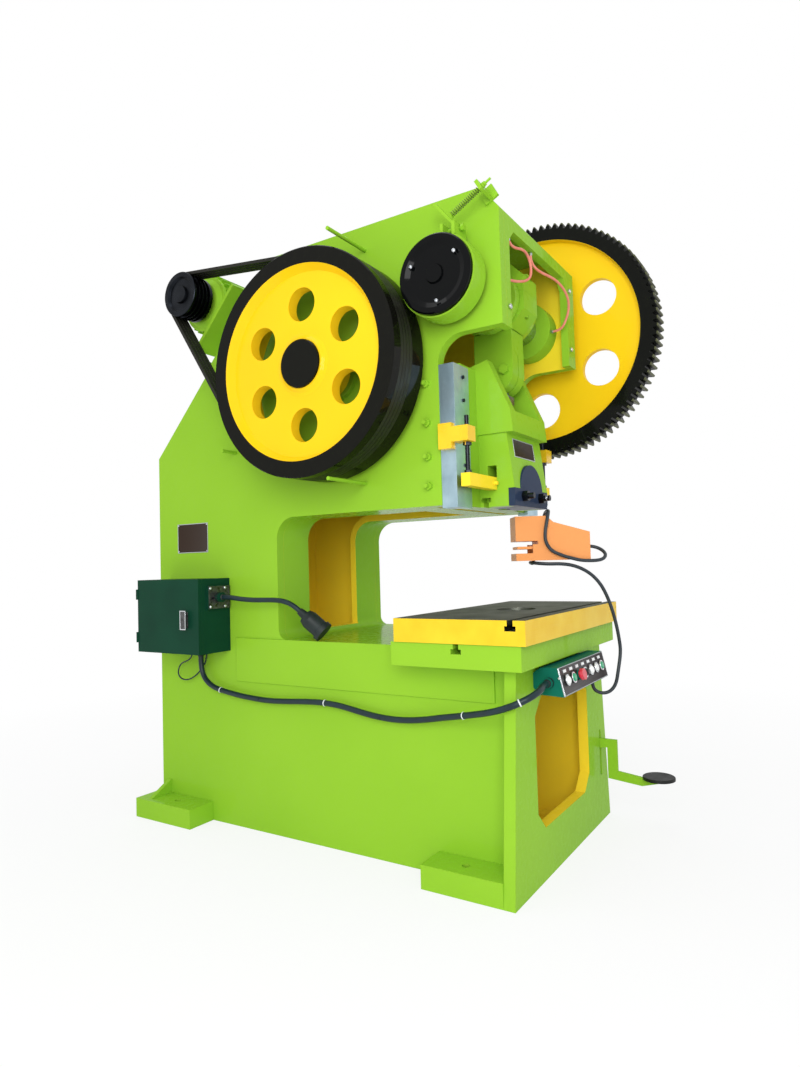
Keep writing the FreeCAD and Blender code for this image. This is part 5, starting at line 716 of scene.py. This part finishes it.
def turned_start(radius_mm, height_mm, sides):
    bpy.ops.object.select_all(action="DESELECT")
    bpy.ops.mesh.primitive_cylinder_add(vertices=sides, radius=radius_mm * MM,
                                        depth=height_mm * MM,
                                        location=(0, 0, height_mm * MM / 2))
    bpy.ops.object.transform_apply(location=True, rotation=True, scale=True)
    return bpy.context.object


def socket_screw(radius_mm, height_mm):
    """Socket-head screw: a chamfered cylinder with a sunk key hole."""
    piece = turned_start(radius_mm, height_mm, 24)
    edit_top(piece, height_mm * MM, [
        lambda: bpy.ops.mesh.inset(thickness=radius_mm * 0.45 * MM),
        lambda: raise_face(-height_mm * 0.5)])
    soften(piece, radius_mm * 0.12)
    return piece


def domed_screw(radius_mm, height_mm):
    """Pan-head screw with a flat foot, a rounded crown and a sunk cross recess."""
    piece = turned_start(radius_mm, height_mm * 0.35, 24)
    edit_top(piece, height_mm * 0.35 * MM, [
        lambda: raise_face(height_mm * 0.35, 0.84),
        lambda: raise_face(height_mm * 0.3, 0.6),
        lambda: bpy.ops.mesh.inset(thickness=radius_mm * 0.16 * MM),
        lambda: raise_face(-height_mm * 0.4)])
    soften(piece, radius_mm * 0.1)
    return piece


def hex_nut(across_mm, height_mm, bore_mm):
    """Chamfered hexagon with a turned top and a sunk bore."""
    piece = turned_start(across_mm / math.sqrt(3), height_mm, 6)
    edit_top(piece, height_mm * MM, [
        lambda: bpy.ops.mesh.inset(thickness=across_mm * 0.06 * MM),
        lambda: raise_face(height_mm * 0.12),
        lambda: bpy.ops.mesh.inset(thickness=(across_mm * 0.44 - bore_mm) * MM),
        lambda: raise_face(-height_mm * 0.3)])
    soften(piece, across_mm * 0.03)
    return piece


def cable_gland(radius_mm, reach_mm, cord_mm):
    """Dome-nut gland: a ribbed nut that tapers down to the cord."""
    piece = turned_start(radius_mm, reach_mm * 0.38, 12)
    edit_top(piece, reach_mm * 0.38 * MM, [
        lambda: raise_face(reach_mm * 0.2, 0.88),
        lambda: raise_face(reach_mm * 0.2, 0.82),
        lambda: raise_face(reach_mm * 0.22, (cord_mm + 1.2) / (radius_mm * 0.72))])
    soften(piece, 0.8)
    return piece


def bezel_ring(outer_mm, inner_mm, height_mm):
    """Turned bezel: a bevelled cup whose floor lies under the button."""
    piece = turned_start(outer_mm, height_mm, 40)
    edit_top(piece, height_mm * MM, [
        lambda: bpy.ops.mesh.inset(thickness=(outer_mm - inner_mm) * MM),
        lambda: raise_face(-height_mm * 0.7)])
    soften(piece, 0.9)
    return piece


def lamp_lens(radius_mm, height_mm):
    """Moulded lens: a short skirt under a low dome."""
    piece = turned_start(radius_mm, height_mm * 0.4, 32)
    edit_top(piece, height_mm * 0.4 * MM, [
        lambda: raise_face(height_mm * 0.3, 0.85),
        lambda: raise_face(height_mm * 0.2, 0.72),
        lambda: raise_face(height_mm * 0.1, 0.5)])
    soften(piece, 0.6, 12)
    return piece


def bordered_plate(name, wide_mm, tall_mm, thick_mm, field, border, border_mm=4):
    """Thin plate whose field is sunk inside a bright border."""
    bpy.ops.object.select_all(action="DESELECT")
    bpy.ops.mesh.primitive_cube_add(size=1, location=(0, 0, thick_mm * MM / 2))
    piece = bpy.context.object
    piece.name = name
    piece.scale = (wide_mm * MM, tall_mm * MM, thick_mm * MM)
    bpy.ops.object.transform_apply(location=True, rotation=True, scale=True)
    piece.data.materials.append(border)
    piece.data.materials.append(field)
    edit_top(piece, thick_mm * MM, [
        lambda: bpy.ops.mesh.inset(thickness=border_mm * MM),
        lambda: raise_face(-thick_mm * 0.4)])
    for face in piece.data.polygons:
        inner = (abs(face.center.x) < (wide_mm / 2 - border_mm) * MM
                 and abs(face.center.y) < (tall_mm / 2 - border_mm) * MM)
        face.material_index = 1 if inner and face.normal.z > 0.9 else 0
    soften(piece, thick_mm * 0.2)
    return piece


def cable_tie(cord_mm):
    """Nylon tie: a flat band round the cord with its square lock and cut tail."""
    bpy.ops.object.select_all(action="DESELECT")
    bpy.ops.mesh.primitive_torus_add(major_radius=(cord_mm + 0.9) * MM, minor_radius=0.9 * MM,
                                     major_segments=36, minor_segments=8)
    band = bpy.context.object
    band.scale = (1, 1, 2.6)
    bpy.ops.object.transform_apply(location=True, rotation=True, scale=True)
    bpy.ops.mesh.primitive_cube_add(size=1, location=((cord_mm + 3) * MM, 0, 0))
    lock = bpy.context.object
    lock.scale = (4.5 * MM, 7 * MM, 6 * MM)
    bpy.ops.object.transform_apply(location=True, rotation=True, scale=True)
    bpy.ops.mesh.primitive_cube_add(size=1, location=((cord_mm + 9) * MM, 1 * MM, 0))
    tail = bpy.context.object
    tail.scale = (12 * MM, 1.2 * MM, 4.4 * MM)
    bpy.ops.object.transform_apply(location=True, rotation=True, scale=True)
    soften(lock, 0.6)
    for piece in (band, lock, tail):
        piece.select_set(True)
    bpy.context.view_layer.objects.active = band
    bpy.ops.object.join()
    bpy.ops.object.shade_smooth_by_angle(angle=math.radians(35))
    return bpy.context.object


def spread_copies(model, name, material, places, along, body):
    """Sets the first copy and the others of a model, then drops the model itself."""
    for i, place in enumerate(places):
        another(model, f"{name}_{i + 1}", material, place, along, body)
    bpy.data.objects.remove(model)


# Drum: three bright screws on its face.
DRUM_FACE_X, SCREW_CIRCLE = -506, 96
drum_places = [(DRUM_FACE_X, CRANK_Y + SCREW_CIRCLE * math.cos(math.radians(degrees)),
                CRANK_Z + SCREW_CIRCLE * math.sin(math.radians(degrees)))
               for degrees in (145, 25, -95)]
spread_copies(domed_screw(7.5, 7), "drum_screw", zinc_plate, drum_places, (-1, 0, 0), "crank")

# Gibs: four blackened socket screws down each face.
gib_places = [(side * 300, -676, z) for side in (-1, 1) for z in (1652, 1735, 1420, 1347)]
spread_copies(socket_screw(6.5, 5), "gib_cap_screw", black_oxide, gib_places, (0, -1, 0),
              "press_frame")

# Head flange: three bright screws that hold the guard.
flange_places = [(-312, -868, 1945), (312, -868, 1945), (312, -868, 2190)]
spread_copies(socket_screw(9, 9), "flange_screw", zinc_plate, flange_places, (0, -1, 0),
              "press_frame")

# Cabinet: four screws in the socket plate, and the glands of its two cords.
socket_places = [(x, SOCKET_FACE_Y, z) for x in (-488, -408) for z in (922, 998)]
spread_copies(domed_screw(6.5, 6), "socket_plate_screw", zinc_plate, socket_places,
              (0, -1, 0), "press_frame")
settled(bordered_plate("socket_plate_cover", 118, 94, 0.8, black_plastic, black_plastic, 6),
        "socket_plate_cover", None, (-438, SOCKET_FACE_Y, 960), (0, -1, 0), "press_frame")
settled(bordered_plate("handle_frame", 34, 78, 1.6, black_plastic, chrome, 3),
        "handle_frame", None, (-562, 505, 871.5), (-1, 0, 0), "door")
settled(cable_gland(20.6, 30, 10), "socket_gland", plug_rubber, (-444, SOCKET_FACE_Y - 0.5, 960),
        (0, -1, 0), "press_frame")
settled(cable_gland(19.6, 26, 11), "conduit_gland", plug_rubber, (-400, 582, 729.5),
        (0, 0, -1), "press_frame")

# Control box: panel, bezels, lamp lenses, end trim and glands.
panel_out = Vector((0, -0.9737, 0.2279))
panel_up = Vector((0, 0.2279, 0.9737))
PANEL_X, PANEL_Y, PANEL_Z = -52.5, -995, 674
BUTTON_PITCH, BUTTON_COUNT = 62, 7
STOP_BUTTON = 2


def on_panel(x, out=0.0):
    """A point on the sloped panel's middle line, moved out along its normal."""
    return Vector((x, PANEL_Y, PANEL_Z)) + panel_out * out


settled(bordered_plate("panel_sheet", 484, 94, 1.2, panel_sheet, plate_border, 2.2),
        "panel_sheet", None, on_panel(PANEL_X), panel_out, "press_frame")
positions = [PANEL_X + BUTTON_PITCH * (i - BUTTON_COUNT // 2) for i in range(BUTTON_COUNT)]
legend_places = [on_panel(x, 0.6) + panel_up * 31 for x in positions]
spread_copies(bordered_plate("legend_plate", 30, 11, 1.2, white_plastic, plate_border, 1.2),
              "legend_plate", None, legend_places, panel_out, "press_frame")
# The stop button's mushroom head comes down over the place of its ring, which stays bare.
bezel_places = [on_panel(x, 1.5) for i, x in enumerate(positions) if i != STOP_BUTTON]
spread_copies(bezel_ring(19, 14.2, 6.5), "bezel", chrome, bezel_places, panel_out,
              "press_frame")
for x, word in ((positions[0], "left"), (positions[4], "right")):
    settled(lamp_lens(13.6, 10), f"lamp_lens_{word}", white_plastic, on_panel(x, 6), panel_out,
            "press_frame")
settled(bordered_plate("panel_trim", 5, 92, 3, chrome, chrome, 1), "panel_trim", None,
        on_panel(-291), panel_out, "press_frame")
settled(domed_screw(4.5, 4), "end_screw", zinc_plate, (-295, -990, 688), (-1, 0, 0),
        "press_frame")
settled(cable_gland(17.6, 28, 11), "control_gland_left", plug_rubber, (-294.5, -956, 672),
        (-1, 0, 0), "press_frame")
settled(cable_gland(12.5, 22, 6.5), "control_gland_low", plug_rubber, (164, -952, 631.5),
        (0, 0, -1), "press_frame")

# Bare nameplates on the side plate, with its rivets, and on the slide's front.
NAMEPLATE_Y, NAMEPLATE_Z = 655, 1217
settled(bordered_plate("side_nameplate", 194, 130, 1.6, plate_sheet, plate_border, 3),
        "side_nameplate", None, (SIDE_FACE_X, NAMEPLATE_Y, NAMEPLATE_Z), (-1, 0, 0),
        "press_frame")
rivet_places = [(SIDE_FACE_X - 1.2, NAMEPLATE_Y + 90 * across, NAMEPLATE_Z + 58 * rise)
                for across in (-1, 1) for rise in (-1, 1)]
spread_copies(domed_screw(3.4, 2.4), "side_rivet", zinc_plate, rivet_places, (-1, 0, 0),
              "press_frame")
# The slide's front leans back by 26 mm over a rise of 204 mm, from the die clamp's bar up.
SLIDE_LEAN, SLIDE_RISE = 26, 204
SLIDE_FRONT_Y, SLIDE_LEAN_START_Z, SLIDE_PLATE_Z = -801, 1342, 1494
lean = math.atan2(SLIDE_LEAN, SLIDE_RISE)
slide_out = Vector((0, -math.cos(lean), math.sin(lean)))
slide_plate = Vector((-18, SLIDE_FRONT_Y + (SLIDE_PLATE_Z - SLIDE_LEAN_START_Z)
                      * SLIDE_LEAN / SLIDE_RISE, SLIDE_PLATE_Z))
settled(bordered_plate("slide_nameplate", 196, 70, 1.6, plate_sheet, plate_border, 3.5),
        "slide_nameplate", None, slide_plate, slide_out, "ram")

def bottom_sheet(wide_mm, deep_mm, thick_mm, rim_mm, rim_high_mm):
    """A tray that lies just above the floor: a flat sheet whose edges are turned up."""
    low = 3
    bpy.ops.object.select_all(action="DESELECT")
    bpy.ops.mesh.primitive_cube_add(size=1, location=(0, -18 * MM, (low + thick_mm / 2) * MM))
    piece = bpy.context.object
    piece.scale = (wide_mm * MM, deep_mm * MM, thick_mm * MM)
    bpy.ops.object.transform_apply(location=True, rotation=True, scale=True)
    edit_top(piece, (low + thick_mm) * MM, [lambda: bpy.ops.mesh.inset(thickness=rim_mm * MM)])
    bpy.ops.object.mode_set(mode="EDIT")
    bpy.ops.mesh.select_all(action="DESELECT")
    bpy.ops.object.mode_set(mode="OBJECT")
    for face in piece.data.polygons:
        face.select = face.normal.z > 0.9 and face.area < 0.1
    bpy.ops.object.mode_set(mode="EDIT")
    raise_face(rim_high_mm)
    bpy.ops.object.mode_set(mode="OBJECT")
    soften(piece, 1.0)
    return piece


# Base: the yellow bottom sheet that shows through the front window.
bottom = bottom_sheet(658, 1750, 4, 5, 22)
bottom.name = "base_bottom_sheet"
# Its yellow is painted brighter, as painted light for the inside of the base.
bottom.data.materials.append(inner_enamel_painted_brighter)
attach(bottom, "press_frame")


def wire_turns_on_bolt(stud_mm, wire_mm, pitch_mm, leans):
    """Turns of wire round the clamp's bolt, each at its own lean, joined as one piece."""
    turns = []
    for i, lean_deg in enumerate(leans):
        bpy.ops.object.select_all(action="DESELECT")
        bpy.ops.mesh.primitive_torus_add(
            major_radius=stud_mm * MM, minor_radius=wire_mm * MM, major_segments=32,
            minor_segments=8, rotation=(math.radians(90 + lean_deg), 0, 0),
            location=(CLAMP_BOLT[0] * MM, (CLAMP_BOLT[1] + pitch_mm * i) * MM,
                      CLAMP_BOLT[2] * MM))
        bpy.ops.object.transform_apply(location=True, rotation=True, scale=True)
        turns.append(bpy.context.object)
    bpy.ops.object.select_all(action="DESELECT")
    for turn in turns:
        turn.select_set(True)
    bpy.context.view_layer.objects.active = turns[0]
    bpy.ops.object.join()
    bpy.ops.object.shade_smooth_by_angle(angle=math.radians(40))
    return bpy.context.object


# Clamp bolt: two turns of the hanging wire.
wire_turns = wire_turns_on_bolt(10.6, 1.5, 3.4, (12, -9))
wire_turns.name = "stud_wire_turns"
wire_turns.data.materials.append(zinc_plate)
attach(wire_turns, "ram")

# White nylon ties on the conduit.
for i, spot in enumerate(((-400, 466, 566), (-396, -94, 556), (-420, -709, 569),
                          (-470, -925, 632))):
    near = min(range(2, len(conduit_line) - 2),
               key=lambda k: (conduit_line[k] - Vector(spot) * MM).length)
    along = conduit_line[near + 1] - conduit_line[near - 1]
    settled(cable_tie(11), f"conduit_tie_{i + 1}", tie_nylon, conduit_line[near] / MM, along,
            "press_frame")

# Ferrules where the oil hoses meet the head and the bearing bosses.
for word, line in (("short", short_route), ("long", long_route)):
    for end, first, second in (("head", line[0], line[1]), ("boss", line[-1], line[-2])):
        settled(hex_nut(13, 12, 5.2), f"hose_nut_{word}_{end}", zinc_plate, first,
                Vector(second) - Vector(first), "press_frame")

# ---------------------------------------------------------------- floor, light and camera

bpy.ops.object.select_all(action="DESELECT")
bpy.ops.mesh.primitive_plane_add(size=60, location=(0, 0, -0.0005))
floor = bpy.context.object
floor.name = "studio_floor"
floor_paint, tree, shader, place = new_material("matt_white_floor")
shader.inputs["Base Color"].default_value = paint_colour("#F7F7F7")
shader.inputs["Roughness"].default_value = 0.9
rays = add(tree, "ShaderNodeLightPath").outputs
seen = either(tree, [rays["Is Camera Ray"], rays["Is Glossy Ray"], rays["Is Transmission Ray"]])
away = add(tree, "ShaderNodeVectorMath", {0: place}, operation="LENGTH").outputs["Value"]
# The floor glows less near the press, so that its shadow stays, and is white further out.
glowing = spread(tree, away, 0.8, 1.0, 1.4, 4.0)
part_seen = product(tree, seen, glowing)
glow = add(tree, "ShaderNodeEmission", {"Color": (1, 1, 1, 1), "Strength": 1.0}).outputs[0]
blend = add(tree, "ShaderNodeMixShader", {0: part_seen, 1: shader.outputs[0], 2: glow})
tree.links.new(blend.outputs[0], tree.nodes["Material Output"].inputs["Surface"])
floor.data.materials.append(floor_paint)

world = bpy.data.worlds.new("studio")
bpy.context.scene.world = world
world.use_nodes = True
sky = world.node_tree
sky.nodes.clear()
rays = add(sky, "ShaderNodeLightPath").outputs
seen = either(sky, [rays["Is Camera Ray"], rays["Is Glossy Ray"], rays["Is Transmission Ray"]])
room = add(sky, "ShaderNodeBackground", {"Color": paint_colour("#F2F4F7"), "Strength": 0.8})
backdrop = add(sky, "ShaderNodeBackground", {"Color": (1, 1, 1, 1), "Strength": 1.0})
both = add(sky, "ShaderNodeMixShader", {0: seen, 1: room.outputs[0], 2: backdrop.outputs[0]})
add(sky, "ShaderNodeOutputWorld", {"Surface": both.outputs[0]})


def soft_lamp(name, position, target, size, power):
    """A square area lamp that faces its target; metres and watts."""
    lamp = bpy.data.lights.new(name, "AREA")
    lamp.size = size
    lamp.energy = power
    holder = bpy.data.objects.new(name, lamp)
    bpy.context.collection.objects.link(holder)
    holder.location = position
    aim = Vector(target) - Vector(position)
    holder.rotation_euler = aim.to_track_quat("-Z", "Y").to_euler()
    return holder


soft_lamp("left_window", (-3.65, -2.2, 2.1), (0, -0.5, 1.2), 2.2, 95)
soft_lamp("ceiling", (-0.6, 0.2, 5.6), (0, 0, 1), 3.2, 46)

# Camera: place, turn and focal length solved from the press's own edges in the photograph.
EYE = (-2.556, -1.828, 1.079)
FOCAL_PIXELS, PICTURE_HIGH, SENSOR_MM = 714.83, 1067, 36
yaw, pitch, roll = math.radians(57.54), math.radians(2.396), math.radians(-1.63)
ahead = Vector((math.sin(yaw) * math.cos(pitch), math.cos(yaw) * math.cos(pitch),
                math.sin(pitch)))
level = Vector((math.cos(yaw), -math.sin(yaw), 0))
upright = level.cross(ahead)
right = math.cos(roll) * level + math.sin(roll) * upright
up = -math.sin(roll) * level + math.cos(roll) * upright
lens = bpy.data.cameras.new("photo_camera")
lens.sensor_width = SENSOR_MM
lens.lens = FOCAL_PIXELS / PICTURE_HIGH * SENSOR_MM
lens.clip_end = 200
camera = bpy.data.objects.new("photo_camera", lens)
bpy.context.collection.objects.link(camera)
camera.matrix_world = Matrix.Translation(EYE) @ Matrix(
    (right, up, -ahead)).transposed().to_4x4()
bpy.context.scene.camera = camera
bpy.context.scene.view_settings.view_transform = "Standard"
